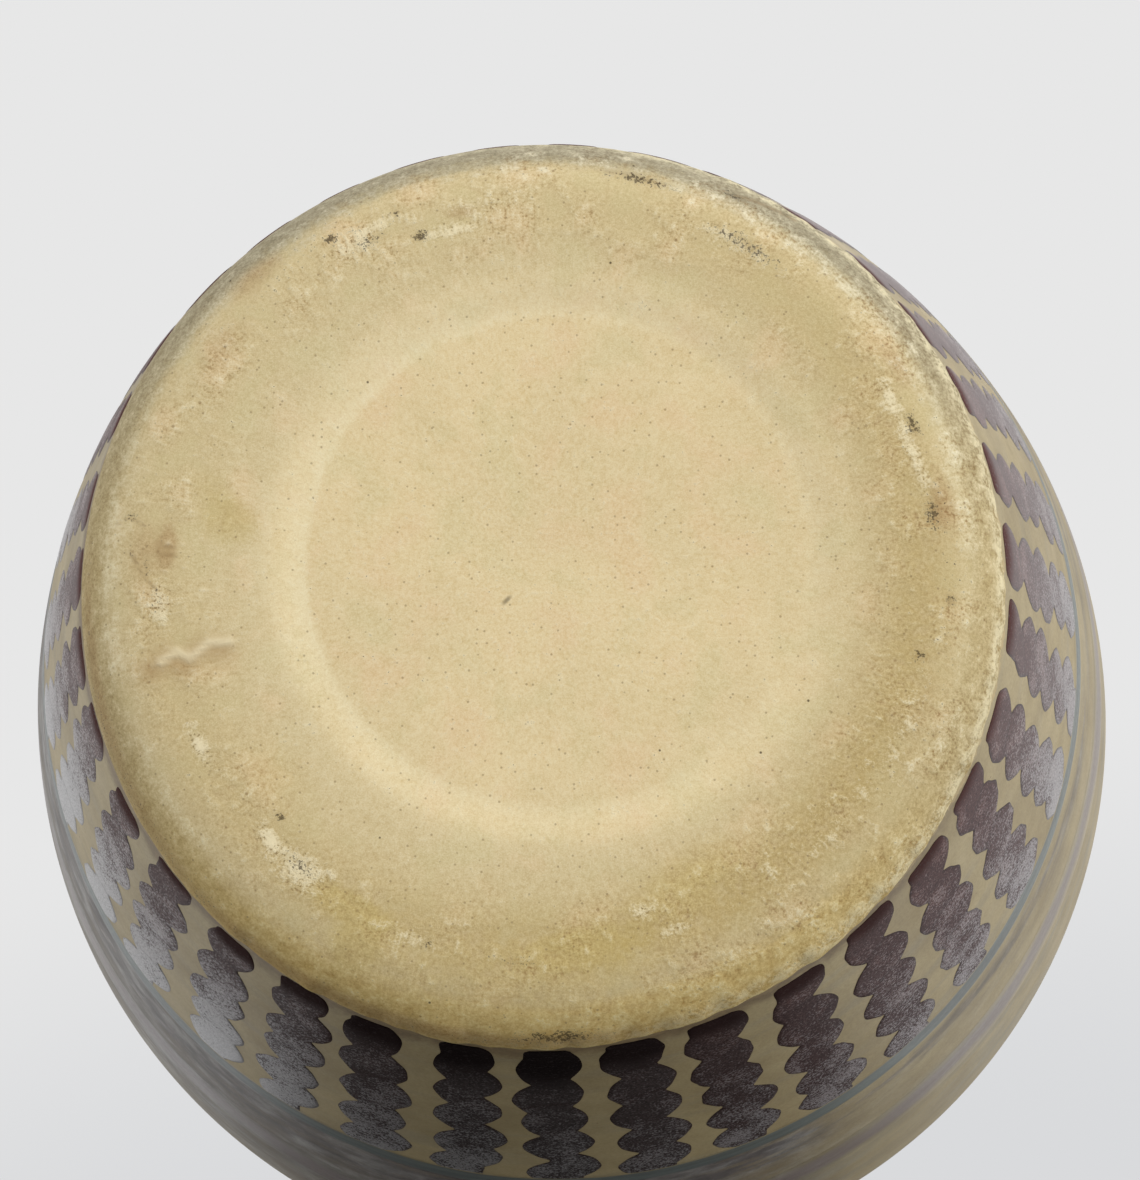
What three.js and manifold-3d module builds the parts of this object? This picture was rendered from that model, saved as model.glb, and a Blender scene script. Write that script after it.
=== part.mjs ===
// A stoneware vase: a thrown clay body with a turned foot, a glaze coat outside and inside,
// and iron slip brushed on the glaze in columns of overlapping dabs between the foot and a banded line.
// Millimetres, +Z up. The origin is the middle of the foot, on the surface that the vase stands on.

import * as THREE from 'three';
import { mergeVertices } from 'three/addons/utils/BufferGeometryUtils.js';
import Module from 'manifold-3d';

// Foot: a pressed disc, a dished ring round it, the ring that the vase stands on and a rounded edge
const RECESS_RADIUS = 31;
const RECESS_DEPTH = 0.6;
const RECESS_FLANK_WIDTH = 2;
const RECESS_OFFSET_X = 2.3;
const RECESS_OFFSET_Y = -1.5;
const DISH_RISE = 1.3;
const DISH_FULLNESS = 0.6;
const RING_RADIUS = 45.5;
const RING_WIDTH = 4;
const EDGE_RADIUS = 57.2;
const EDGE_HEIGHT = 7;

// Wall, shoulder, neck and lip: radii are of the clay's outside, rises are from one to the next
const WALL_FLARE = 0.41;
const WALL_RUN_IN = 0.15;
const BELLY_RADIUS = 92.8;
const BELLY_RISE = 127.6;
const BELLY_FULLNESS = 0.3;
const SHOULDER_RISE = 60;
const SHOULDER_FULLNESS = 0.52;
const NECK_RADIUS = 50;
const NECK_TURN = 0.34;
const RIM_RADIUS = 55;
const RIM_RISE = 14;
const WALL_THICKNESS = 6;
const FLOOR_THICKNESS = 7;
const CORNER_RADIUS = 9;

// Layers on the clay: each keeps a thin seam to what it was laid on
const SEAM_WIDTH = 0.3;
const GLAZE_THICKNESS = 0.5;
const SLIP_THICKNESS = 0.4;

// Brushwork: distances run up the wall from the glaze's lower edge, fills are shares of the pitch
const COLUMN_COUNT = 35;
const COLUMN_ANGLE = 6.34;
const START_DISTANCE = 3.5;
const DABS_IN_COLUMN = 5;
const DAB_FILL_RATIO = 0.78;
const DAB_FLAT_RATIO = 0.42;
const NOTCH_FILL_RATIO = 0.52;
const TIP_FILL_RATIO = 0.4;
const LINE_DISTANCE = 52.7;
const LINE_WIDTH = 5;
const STREAK_DISTANCE = 79.5;
const STREAK_WIDTH = 11;

// Fineness of the solids
const FACETS = 36;
const FOOT_STEPS = 3;
const EDGE_STEPS = 4;
const WALL_STEPS = 8;
const SHOULDER_STEPS = 6;
const NECK_STEPS = 3;
const LIP_STEPS = 2;
const CORNER_STEPS = 2;

const CLAY = { color: 0xcbb583, roughness: 0.9 };
const GLAZE = { color: 0x9a8a62, roughness: 0.35 };
const SLIP = { color: 0x4b3b3c, roughness: 0.4 };
const LINE = { color: 0x737870, roughness: 0.4 };
const STREAK = { color: 0x85776f, roughness: 0.4 };

const wasm = await Module();
wasm.setup();

// The way out of the clay, square to a segment: right of the direction from foot to lip to floor
function outward(from, to) {
  const along = to.clone().sub(from).normalize();
  return new THREE.Vector2(along.y, -along.x);
}

// A line moved sideways, each segment staying parallel to itself
function offsetLine(line, distance) {
  const last = line.length - 1;
  return line.map((point, i) => {
    const before = outward(line[Math.max(i, 1) - 1], line[Math.max(i, 1)]);
    const after = outward(line[Math.min(i, last - 1)], line[Math.min(i, last - 1) + 1]);
    const mitre = before.clone().add(after).normalize();
    return point.clone().addScaledVector(mitre, distance / mitre.dot(before));
  });
}

// The stretch of a line between two distances along it
function stretch(line, start, end) {
  const cut = [];
  let walked = 0;
  for (let i = 1; i < line.length; i++) {
    const length = line[i].distanceTo(line[i - 1]);
    const place = (distance) => line[i - 1].clone().lerp(line[i], (distance - walked) / length);
    if (start >= walked && start < walked + length) cut.push(place(start));
    if (walked + length > start && walked + length < end) cut.push(line[i].clone());
    if (end > walked && end <= walked + length) cut.push(place(end));
    walked += length;
  }
  return cut;
}

function lengthOf(line) {
  return line.slice(1).reduce((sum, point, i) => sum + point.distanceTo(line[i]), 0);
}

// The closed section of a layer that follows a line at a gap from it
function layer(line, gap, thickness) {
  const face = offsetLine(line, gap + thickness);
  return [...face, ...offsetLine(line, gap).reverse(), face[0].clone()];
}

function revolve(section) {
  return new THREE.LatheGeometry(section, FACETS).rotateX(Math.PI / 2);
}

function toSolid(geometry) {
  const bare = geometry.clone().deleteAttribute('normal').deleteAttribute('uv');
  const merged = mergeVertices(bare);
  const corners = Array.from(merged.index.array);
  const triangles = [];
  for (let i = 0; i < corners.length; i += 3) {
    const [a, b, c] = corners.slice(i, i + 3);
    if (a !== b && b !== c && c !== a) triangles.push(a, b, c);
  }
  return new wasm.Manifold(new wasm.Mesh({
    numProp: 3,
    vertProperties: new Float32Array(merged.attributes.position.array),
    triVerts: new Uint32Array(triangles),
  }));
}

function toGeometry(solid) {
  const mesh = solid.getMesh();
  const geometry = new THREE.BufferGeometry();
  geometry.setAttribute('position', new THREE.BufferAttribute(mesh.vertProperties, 3));
  geometry.setIndex(new THREE.BufferAttribute(mesh.triVerts, 1));
  geometry.computeVertexNormals();
  return geometry;
}

// The underside, from the axis out over the dish and the standing ring, and round the edge
function footLine(edge) {
  const ringInner = RING_RADIUS - RING_WIDTH / 2;
  const ringOuter = RING_RADIUS + RING_WIDTH / 2;
  const dish = new THREE.QuadraticBezierCurve(
    new THREE.Vector2(0, DISH_RISE),
    new THREE.Vector2(ringInner * DISH_FULLNESS, DISH_RISE),
    new THREE.Vector2(ringInner, 0),
  );
  const rounding = new THREE.QuadraticBezierCurve(
    new THREE.Vector2(ringOuter, 0),
    new THREE.Vector2(edge.x - WALL_FLARE * edge.y, 0),
    edge,
  );
  return [...dish.getPoints(FOOT_STEPS), ...rounding.getPoints(EDGE_STEPS)];
}

// The outside of the clay from the glaze's lower edge up the wall, over the shoulder and out to the rim
function wallLine(edge) {
  const belly = new THREE.Vector2(BELLY_RADIUS, edge.y + BELLY_RISE);
  const neck = new THREE.Vector2(NECK_RADIUS, belly.y + SHOULDER_RISE);
  const rim = new THREE.Vector2(RIM_RADIUS, neck.y + RIM_RISE);
  const wall = new THREE.CubicBezierCurve(
    edge,
    new THREE.Vector2(edge.x + WALL_FLARE * WALL_RUN_IN * BELLY_RISE, edge.y + WALL_RUN_IN * BELLY_RISE),
    new THREE.Vector2(belly.x, belly.y - BELLY_FULLNESS * BELLY_RISE),
    belly,
  );
  const shoulder = new THREE.CubicBezierCurve(
    belly,
    new THREE.Vector2(belly.x, belly.y + SHOULDER_FULLNESS * SHOULDER_RISE),
    new THREE.Vector2(neck.x, neck.y - NECK_TURN * SHOULDER_RISE),
    neck,
  );
  const flare = new THREE.QuadraticBezierCurve(neck, new THREE.Vector2(neck.x, (neck.y + rim.y) / 2), rim);
  return [
    ...wall.getPoints(WALL_STEPS),
    ...shoulder.getPoints(SHOULDER_STEPS).slice(1),
    ...flare.getPoints(NECK_STEPS).slice(1),
  ];
}

// The round lip over the end of the wall, from its outer to its inner face, without the two end points
function lipLine(wall) {
  const [below, rim] = wall.slice(-2);
  const radius = WALL_THICKNESS / 2;
  const side = outward(below, rim);
  const up = rim.clone().sub(below).normalize();
  const centre = rim.clone().addScaledVector(side, -radius);
  return Array.from({ length: 2 * LIP_STEPS - 1 }, (_, i) => {
    const angle = (Math.PI * (i + 1)) / (2 * LIP_STEPS);
    return centre.clone()
      .addScaledVector(side, radius * Math.cos(angle))
      .addScaledVector(up, radius * Math.sin(angle));
  });
}

// The inside of the clay, down from the rim to a rounded corner and over the floor to the axis
function hollowLine(wall) {
  const floor = DISH_RISE + RECESS_DEPTH + FLOOR_THICKNESS;
  const inner = offsetLine(wall, -WALL_THICKNESS).reverse();
  const first = inner.findIndex((point) => point.y < floor + CORNER_RADIUS);
  const [above, below] = [inner[first - 1], inner[first]];
  const start = above.clone().lerp(below, (above.y - floor - CORNER_RADIUS) / (above.y - below.y));
  const foot = above.clone().lerp(below, (above.y - floor) / (above.y - below.y));
  const end = new THREE.Vector2(foot.x - CORNER_RADIUS, floor);
  const corner = new THREE.QuadraticBezierCurve(start, foot, end);
  return [...inner.slice(0, first), ...corner.getPoints(CORNER_STEPS), new THREE.Vector2(0, floor)];
}

// The shallow disc that is pressed into the underside, a little off the middle, with a soft flank
function recessPlug() {
  const top = DISH_RISE + RECESS_DEPTH;
  const below = -RECESS_DEPTH;
  const spread = (RECESS_FLANK_WIDTH * (top - below)) / RECESS_DEPTH;
  const plug = revolve([
    new THREE.Vector2(0, below),
    new THREE.Vector2(RECESS_RADIUS + spread, below),
    new THREE.Vector2(RECESS_RADIUS, top),
    new THREE.Vector2(0, top),
  ]);
  return plug.translate(RECESS_OFFSET_X, RECESS_OFFSET_Y, 0);
}

// One column of dabs: a thin strip up the wall whose sides swell at each dab and draw in between
function dabColumn(glazed, start, end, angle) {
  const pitch = (2 * Math.PI) / COLUMN_COUNT;
  const dab = (end - start) / DABS_IN_COLUMN;
  const rows = [[start, TIP_FILL_RATIO]];
  for (let k = 0; k < DABS_IN_COLUMN; k++) {
    const middle = start + (k + 0.5) * dab;
    const flat = (DAB_FLAT_RATIO * dab) / 2;
    rows.push([middle - flat, DAB_FILL_RATIO], [middle + flat, DAB_FILL_RATIO]);
    const isLast = k === DABS_IN_COLUMN - 1;
    rows.push([middle + dab / 2, isLast ? TIP_FILL_RATIO : NOTCH_FILL_RATIO]);
  }
  const spine = rows.map(([distance]) => stretch(glazed, distance, lengthOf(glazed))[0]);
  const faces = [offsetLine(spine, SEAM_WIDTH), offsetLine(spine, SEAM_WIDTH + SLIP_THICKNESS)];
  const corners = rows.flatMap(([, fill], i) => faces.flatMap((face) => [-1, 1].flatMap((side) => {
    const turn = angle + (side * fill * pitch) / 2;
    return [face[i].x * Math.cos(turn), face[i].x * Math.sin(turn), face[i].y];
  })));
  // Each row has four corners: under left, under right, top left, top right
  const around = [0, 1, 3, 2];
  const triangles = [0, 1, 2, 1, 3, 2];
  for (let i = 0; i < rows.length - 1; i++) {
    around.forEach((corner, k) => {
      const [a, b] = [4 * i + corner, 4 * i + around[(k + 1) % 4]];
      triangles.push(a, b + 4, b, a, a + 4, b + 4);
    });
  }
  const top = 4 * (rows.length - 1);
  triangles.push(top, top + 2, top + 1, top + 1, top + 2, top + 3);
  const geometry = new THREE.BufferGeometry();
  geometry.setAttribute('position', new THREE.Float32BufferAttribute(corners, 3));
  geometry.setIndex(triangles);
  geometry.computeVertexNormals();
  return geometry;
}

const vase = new THREE.Group();

function add(name, geometry, finish) {
  const mesh = new THREE.Mesh(geometry, new THREE.MeshStandardMaterial({ ...finish, metalness: 0 }));
  mesh.name = name;
  vase.add(mesh);
}

// The clay's section, from the axis under the foot to the axis on the floor
const edge = new THREE.Vector2(EDGE_RADIUS, EDGE_HEIGHT);
const foot = footLine(edge);
const wall = wallLine(edge);
const lip = lipLine(wall);
const hollow = hollowLine(wall);
const clay = toSolid(revolve([...foot, ...wall.slice(1), ...lip, ...hollow]));
add('body', toGeometry(clay.subtract(toSolid(recessPlug()))), CLAY);

// The two coats meet in a seam on the top of the lip
const outside = [...wall, ...lip.slice(0, LIP_STEPS)];
const inside = [...lip.slice(LIP_STEPS - 1), ...hollow];
const lining = stretch(inside, SEAM_WIDTH, lengthOf(inside));
add('outer_glaze', revolve(layer(outside, SEAM_WIDTH, GLAZE_THICKNESS)), GLAZE);
add('inner_glaze', revolve([
  ...offsetLine(lining, SEAM_WIDTH).reverse(),
  ...offsetLine(lining, SEAM_WIDTH + GLAZE_THICKNESS),
]), GLAZE);

// Slip on the outer coat
const glazed = offsetLine(outside, SEAM_WIDTH + GLAZE_THICKNESS);
const columnEnd = LINE_DISTANCE - LINE_WIDTH / 2 - SEAM_WIDTH;
for (let i = 0; i < COLUMN_COUNT; i++) {
  const angle = THREE.MathUtils.degToRad(COLUMN_ANGLE) + (2 * Math.PI * i) / COLUMN_COUNT;
  const name = `dab_column_${String(i + 1).padStart(2, '0')}`;
  add(name, dabColumn(glazed, START_DISTANCE, columnEnd, angle), SLIP);
}

function band(distance, width) {
  const under = stretch(glazed, distance - width / 2, distance + width / 2);
  return revolve(layer(under, SEAM_WIDTH, SLIP_THICKNESS));
}

add('ring_line', band(LINE_DISTANCE, LINE_WIDTH), LINE);
add('ring_streak', band(STREAK_DISTANCE, STREAK_WIDTH), STREAK);

export default vase;
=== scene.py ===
"""A stoneware vase seen from under its foot: bare clay, satin glaze and columns of brushed slip.

Metres, +Z up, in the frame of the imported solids. Every piece is a surface worked out over a grid and
stands where its solid stands. Finishes read object coordinates or values kept on the piece's points.
"""

import logging
import math
from collections.abc import Callable
from dataclasses import dataclass, field
from enum import Enum
from typing import Any

import bpy
import numpy as np
from mathutils import Matrix, Vector


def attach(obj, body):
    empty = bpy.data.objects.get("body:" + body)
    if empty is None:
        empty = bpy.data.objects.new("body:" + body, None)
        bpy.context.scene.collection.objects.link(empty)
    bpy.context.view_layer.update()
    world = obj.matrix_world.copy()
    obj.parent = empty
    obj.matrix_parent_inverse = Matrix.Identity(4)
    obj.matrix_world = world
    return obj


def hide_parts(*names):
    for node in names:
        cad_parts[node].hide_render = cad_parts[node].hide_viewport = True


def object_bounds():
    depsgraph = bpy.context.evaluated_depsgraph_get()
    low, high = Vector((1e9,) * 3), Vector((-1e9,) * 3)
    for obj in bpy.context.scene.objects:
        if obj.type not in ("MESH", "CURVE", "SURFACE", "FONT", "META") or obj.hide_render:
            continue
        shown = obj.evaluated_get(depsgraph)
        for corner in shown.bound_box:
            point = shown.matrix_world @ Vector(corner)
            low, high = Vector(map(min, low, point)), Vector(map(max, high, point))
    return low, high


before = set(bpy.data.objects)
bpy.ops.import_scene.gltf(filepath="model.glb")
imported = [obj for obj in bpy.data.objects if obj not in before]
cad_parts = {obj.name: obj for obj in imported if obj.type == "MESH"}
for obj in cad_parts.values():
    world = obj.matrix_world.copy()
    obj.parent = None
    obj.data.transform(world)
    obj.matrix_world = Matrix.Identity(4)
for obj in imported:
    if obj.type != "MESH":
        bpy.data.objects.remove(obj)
CAD_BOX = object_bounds()

MM = 0.001
FULL_TURN = 2.0 * np.pi
BODY = "root"
LOG = logging.getLogger("vase")

Array = np.ndarray
Piece = bpy.types.Object
Material = bpy.types.Material
Pair = tuple[float, float]
Triple = tuple[float, float, float]
Colour = tuple[float, float, float, float]
Trail = tuple[Pair, ...]


class Slot(Enum):
    """The record's material slots."""

    CLAY = "clay"
    GLAZE = "glaze"
    LINING = "lining"
    SLIP = "slip"
    LINE = "line"
    STREAK = "streak"


class Wear(Enum):
    """What use and the kiln left on the bare foot, and darker bands along its very edge."""

    SCUFF = "scuff"
    GRIME = "grime"
    OLIVE = "olive"
    BROWN = "brown"


def tone(red: int, green: int, blue: int) -> Colour:
    """A display colour as linear light: the sRGB curve undone on each channel.

    Args:
        red: Red from 0 to 255.
        green: Green from 0 to 255.
        blue: Blue from 0 to 255.

    Returns:
        Linear red, green and blue, and an alpha of 1.
    """
    shown = np.array([red, green, blue]) / 255.0
    light = np.where(shown <= 0.04045, shown / 12.92, ((shown + 0.055) / 1.055) ** 2.4)
    return (*light.tolist(), 1.0)


def ease(value: Array) -> Array:
    """A smooth step from 0 to 1: 3v^2 - 2v^3 of the value held between 0 and 1."""
    held = np.clip(value, 0.0, 1.0)
    return held * held * (3.0 - 2.0 * held)


def bell(value: Array | float, middle: float, spread: float) -> Array | float:
    """A bell curve: e^-(d^2), with d the distance from the middle in spreads."""
    return np.exp(-(((value - middle) / spread) ** 2))


def bezier(controls: list[Pair], steps: int) -> Array:
    """Points on a Bezier curve: the Bernstein weights of each t times the control points.

    Args:
        controls: Radius and height of each control point.
        steps: Number of equal steps in t.

    Returns:
        One row of radius and height for each step, ends included.
    """
    degree = len(controls) - 1
    power = np.arange(degree + 1)
    t = np.linspace(0.0, 1.0, steps + 1)[:, None]
    choose = np.array([math.comb(degree, k) for k in power])
    return (choose * t**power * (1.0 - t) ** (degree - power)) @ np.array(controls)


def polar(radius: Array, angle: Array, height: Array) -> Array:
    """Points round the axis: x = r cos a, y = r sin a, z = h, with the coordinate as the last axis."""
    spots = np.broadcast_arrays(radius * np.cos(angle), radius * np.sin(angle), height)
    return np.stack(spots, -1)


def round_axis(points: Array) -> tuple[Array, Array]:
    """Distance of each point from the axis, and its angle round it."""
    return np.hypot(points[:, 0], points[:, 1]), np.arctan2(points[:, 1], points[:, 0])


@dataclass(frozen=True)
class Outline:
    """A line beside the axis, from foot to lip to floor, as rows of radius and height."""

    rows: Array

    def distances(self) -> Array:
        """Distance of each row along the line, the lengths of its steps summed."""
        steps = np.linalg.norm(np.diff(self.rows, axis=0), axis=1)
        return np.concatenate([[0.0], np.cumsum(steps)])

    def outward(self) -> Array:
        """Unit normals: the tangent by differences of the second order, turned a quarter to the right.

        Returns:
            One normal for each row, to the right of the way along the line.
        """
        tangent = np.gradient(self.rows, self.distances(), axis=0, edge_order=2)
        tangent /= np.linalg.norm(tangent, axis=1, keepdims=True)
        return np.column_stack([tangent[:, 1], -tangent[:, 0]])

    def moved(self, lift: float) -> "Outline":
        """The line moved along its normals."""
        return Outline(self.rows + self.outward() * lift)

    def braced(self, share: float = 0.03) -> "Outline":
        """The line with one more row close to each end, which keeps smooth shading off the end faces.

        Args:
            share: How far in the new rows lie, as a share of the first and the last step.

        Returns:
            The longer line.
        """
        first = self.rows[0] + share * (self.rows[1] - self.rows[0])
        last = self.rows[-1] + share * (self.rows[-2] - self.rows[-1])
        return Outline(np.vstack([self.rows[:1], first, self.rows[1:-1], last, self.rows[-1:]]))

    def at(self, distance: Array, lift: Array | float) -> tuple[Array, Array]:
        """Points at distances along the line and lifted off it: the row plus lift times the normal.

        Args:
            distance: Distances along the line, of any shape.
            lift: Height over the line, of the same shape or one value.

        Returns:
            Radius and height, each of the shape of distance.
        """
        columns = np.hstack([self.rows, self.outward()]).T
        radius, height, out, up = (np.interp(distance, self.distances(), column) for column in columns)
        return radius + lift * out, height + lift * up


def grid_faces(rows: int, columns: int, closed: bool) -> Array:
    """Quads over a grid of points whose rows are loops: (i, j), (i, j+1), (i+1, j+1), (i+1, j).

    Args:
        rows: Number of rows of points.
        columns: Number of points in a row.
        closed: Joins the last row to the first.

    Returns:
        Four point numbers for each quad, outward where rows go up and run round to the left.
    """
    i = np.arange(rows if closed else rows - 1)[:, None]
    left = np.arange(columns)[None, :]
    right = (left + 1) % columns
    low, high = i * columns, (i + 1) % rows * columns
    return np.stack([low + left, low + right, high + right, high + left], -1).reshape(-1, 4)


def turned(rows: Array, segments: int) -> Array:
    """A section's rows of radius and height at equal angles in a full turn."""
    return polar(rows[:, :1], np.linspace(0.0, FULL_TURN, segments, endpoint=False), rows[:, 1:])


def placed(name: str, data: bpy.types.ID) -> Piece:
    """Makes an object at the origin.

    Args:
        name: Its name.
        data: Its mesh, lamp or camera.

    Returns:
        The object, linked to the scene.
    """
    item = bpy.data.objects.new(name, data)
    bpy.context.scene.collection.objects.link(item)
    return item


@dataclass
class Surface:
    """Points of a piece, arrays of its faces, and the values and the brush map that its finish reads."""

    points: Array
    faces: list[Array]
    values: dict[str, Array] = field(default_factory=dict)
    brush: Array | None = None

    def to_object(self, name: str) -> Piece:
        """Makes the surface a smooth mesh object at the origin.

        Args:
            name: Name of the object and its mesh.

        Returns:
            The object, linked to the scene.
        """
        mesh = bpy.data.meshes.new(name)
        faces = [face for part in self.faces for face in part.tolist()]
        mesh.from_pydata(self.points.reshape(-1, 3).tolist(), [], faces)
        mesh.polygons.foreach_set("use_smooth", np.ones(len(mesh.polygons), bool))
        for key, value in self.values.items():
            layer = mesh.attributes.new(key, "FLOAT", "POINT")
            layer.data.foreach_set("value", value.ravel().astype(np.float32))
        if self.brush is not None:
            corners = np.empty(len(mesh.loops), np.int32)
            mesh.loops.foreach_get("vertex_index", corners)
            layer = mesh.uv_layers.new(name="Brush")
            layer.data.foreach_set("uv", self.brush.reshape(-1, 2)[corners].astype(np.float32).ravel())
        mesh.update()
        return placed(name, mesh)


def lathe(rows: Array, segments: int) -> Surface:
    """A closed body from a section that starts and ends on the axis: rings, with a fan at each pole.

    Args:
        rows: Radius and height, outside to the right of the way along the section.
        segments: Number of angles in the full turn.

    Returns:
        The surface: all rings first, then the lower and the upper pole.
    """
    rings = turned(rows[1:-1], segments)
    count = len(rows) - 2
    poles = np.array([[0.0, 0.0, rows[0, 1]], [0.0, 0.0, rows[-1, 1]]])
    here = np.arange(segments)
    after = (here + 1) % segments
    last = (count - 1) * segments
    first_pole = np.full(segments, count * segments)
    low_fan = np.stack([first_pole, after, here], -1)
    high_fan = np.stack([first_pole + 1, last + here, last + after], -1)
    points = np.vstack([rings.reshape(-1, 3), poles])
    return Surface(points, [grid_faces(count, segments, False), low_fan, high_fan])


def hoop(rows: Array, segments: int) -> Surface:
    """A closed ring from a closed section off the axis, with the outside to the right of its way round."""
    return Surface(turned(rows, segments), [grid_faces(len(rows), segments, True)])


@dataclass(frozen=True)
class VaseForm:
    """The driving dimensions of the clay, as in the part's source, and the lines that follow from them.

    Each line is made of rows of radius and height.
    """

    recess_radius: float = 31 * MM
    recess_depth: float = 0.6 * MM
    recess_flank: float = 5 * MM
    recess_drift: Pair = (2.3 * MM, -1.5 * MM)
    dish_rise: float = 1.3 * MM
    dish_fullness: float = 0.6
    ring_radius: float = 45.5 * MM
    ring_width: float = 4 * MM
    edge_radius: float = 57.2 * MM
    edge_height: float = 7 * MM
    wall_flare: float = 0.41
    wall_run_in: float = 0.15
    belly_radius: float = 92.8 * MM
    belly_rise: float = 127.6 * MM
    belly_fullness: float = 0.3
    shoulder_rise: float = 60 * MM
    shoulder_fullness: float = 0.52
    neck_radius: float = 50 * MM
    neck_turn: float = 0.34
    rim_radius: float = 55 * MM
    rim_rise: float = 14 * MM
    wall_thickness: float = 6 * MM
    floor_thickness: float = 7 * MM
    floor_corner: float = 9 * MM
    dish_steps: int = 80
    edge_steps: int = 20
    ring_rows: int = 8
    corner_steps: int = 8
    floor_rows: int = 10

    def foot(self, cover: float) -> Array:
        """The underside from the axis: a quadratic dish, a flat ring to stand on and a quadratic edge.

        Args:
            cover: Thickness of the coat on the wall; the edge ends flush with the coat's face.

        Returns:
            The line's rows, the first on the axis.
        """
        inner = self.ring_radius - self.ring_width / 2
        outer = self.ring_radius + self.ring_width / 2
        full = (inner * self.dish_fullness, self.dish_rise)
        dish = bezier([(0.0, self.dish_rise), full, (inner, 0.0)], self.dish_steps)
        ring = np.column_stack([np.linspace(inner, outer, self.ring_rows), np.zeros(self.ring_rows)])
        lean = math.hypot(1.0, self.wall_flare)
        flush = (self.edge_radius + cover / lean, self.edge_height - (cover * self.wall_flare) / lean)
        edge = bezier([(outer, 0.0), (flush[0] - self.wall_flare * flush[1], 0.0), flush], self.edge_steps)
        return np.vstack([dish, ring[1:], edge[1:]])

    def wall(self, fineness: int) -> Array:
        """The outside from the edge to the rim: a cubic wall, a cubic shoulder and a quadratic flare.

        Args:
            fineness: Steps on the wall; the shoulder has three quarters of that, the flare a quarter.

        Returns:
            The line's rows.
        """
        belly = self.edge_height + self.belly_rise
        neck = belly + self.shoulder_rise
        rim = neck + self.rim_rise
        run_in = self.wall_run_in * self.belly_rise
        wall = bezier([
            (self.edge_radius, self.edge_height),
            (self.edge_radius + self.wall_flare * run_in, self.edge_height + run_in),
            (self.belly_radius, belly - self.belly_fullness * self.belly_rise),
            (self.belly_radius, belly),
        ], fineness)
        shoulder = bezier([
            (self.belly_radius, belly),
            (self.belly_radius, belly + self.shoulder_fullness * self.shoulder_rise),
            (self.neck_radius, neck - self.neck_turn * self.shoulder_rise),
            (self.neck_radius, neck),
        ], fineness * 3 // 4)
        upright = (self.neck_radius, (neck + rim) / 2)
        flare = bezier([(self.neck_radius, neck), upright, (self.rim_radius, rim)], fineness // 4)
        return np.vstack([wall, shoulder[1:], flare[1:]])

    def lip(self, wall: Array, steps: int) -> Array:
        """The half circle over the end of the wall, from its outer to its inner face, ends left out.

        Args:
            wall: Rows of the outside, up to the rim.
            steps: Steps in each quarter of the circle.

        Returns:
            The line's rows; the middle one is the top of the lip.
        """
        side = Outline(wall).outward()[-1]
        up = np.array([-side[1], side[0]])
        radius = self.wall_thickness / 2
        angle = np.linspace(0.0, np.pi, 2 * steps + 1)[1:-1, None]
        return wall[-1] - side * radius + radius * (np.cos(angle) * side + np.sin(angle) * up)

    def hollow(self, wall: Array) -> Array:
        """The inside from rim to axis: the wall moved in, a quadratic corner and the flat floor.

        Args:
            wall: Rows of the outside, up to the rim.

        Returns:
            The line's rows, the last one on the axis.
        """
        floor = self.dish_rise + self.recess_depth + self.floor_thickness
        inner = Outline(wall).moved(-self.wall_thickness).rows[::-1]
        kept = inner[inner[:, 1] > floor + self.floor_corner]
        heights = [floor, floor + self.floor_corner]
        foot, start = np.interp(heights, inner[::-1, 1], inner[::-1, 0])
        flat = foot - self.floor_corner
        corner = bezier([(start, heights[1]), (foot, floor), (flat, floor)], self.corner_steps)
        level = np.linspace((flat, floor), (0.0, floor), self.floor_rows)
        return np.vstack([kept, corner, level[1:]])

    def recess(self, points: Array) -> Array:
        """Distance of each point past the border of the pressed disc, across the axis."""
        drift = self.recess_drift
        return np.hypot(points[:, 0] - drift[0], points[:, 1] - drift[1]) - self.recess_radius


@dataclass(frozen=True)
class Coating:
    """How far from the clay the glaze's back and face lie, and what keeps two layers apart."""

    seam: float = 0.3 * MM
    glaze: float = 0.8 * MM
    clearance: float = 0.015 * MM


def operator(operation: str, reflected: bool = False) -> Callable[["Wire", "Wire | float"], "Wire"]:
    """An operator of Wire that adds one Math node.

    Args:
        operation: The node's operation.
        reflected: Puts the other value first.

    Returns:
        The operator's method.
    """

    def act(wire: "Wire", other: "Wire | float") -> "Wire":
        """The operation on the two values."""
        return wire.math(operation, other, wire) if reflected else wire.math(operation, wire, other)

    return act


@dataclass(frozen=True)
class Wire:
    """A value on its way through a node tree; arithmetic on it adds Math nodes."""

    recipe: "Recipe"
    socket: bpy.types.NodeSocket

    __add__ = operator("ADD")
    __radd__ = operator("ADD", True)
    __sub__ = operator("SUBTRACT")
    __rsub__ = operator("SUBTRACT", True)
    __mul__ = operator("MULTIPLY")
    __rmul__ = operator("MULTIPLY", True)

    def math(self, operation: str, first: "Wire | float", second: "Wire | float") -> "Wire":
        """One Math node on two values."""
        return self.recipe.wire("Math", {"operation": operation}, {0: first, 1: second})


Settings = dict[str, Any]
Sockets = dict[str | int, Any]


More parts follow.
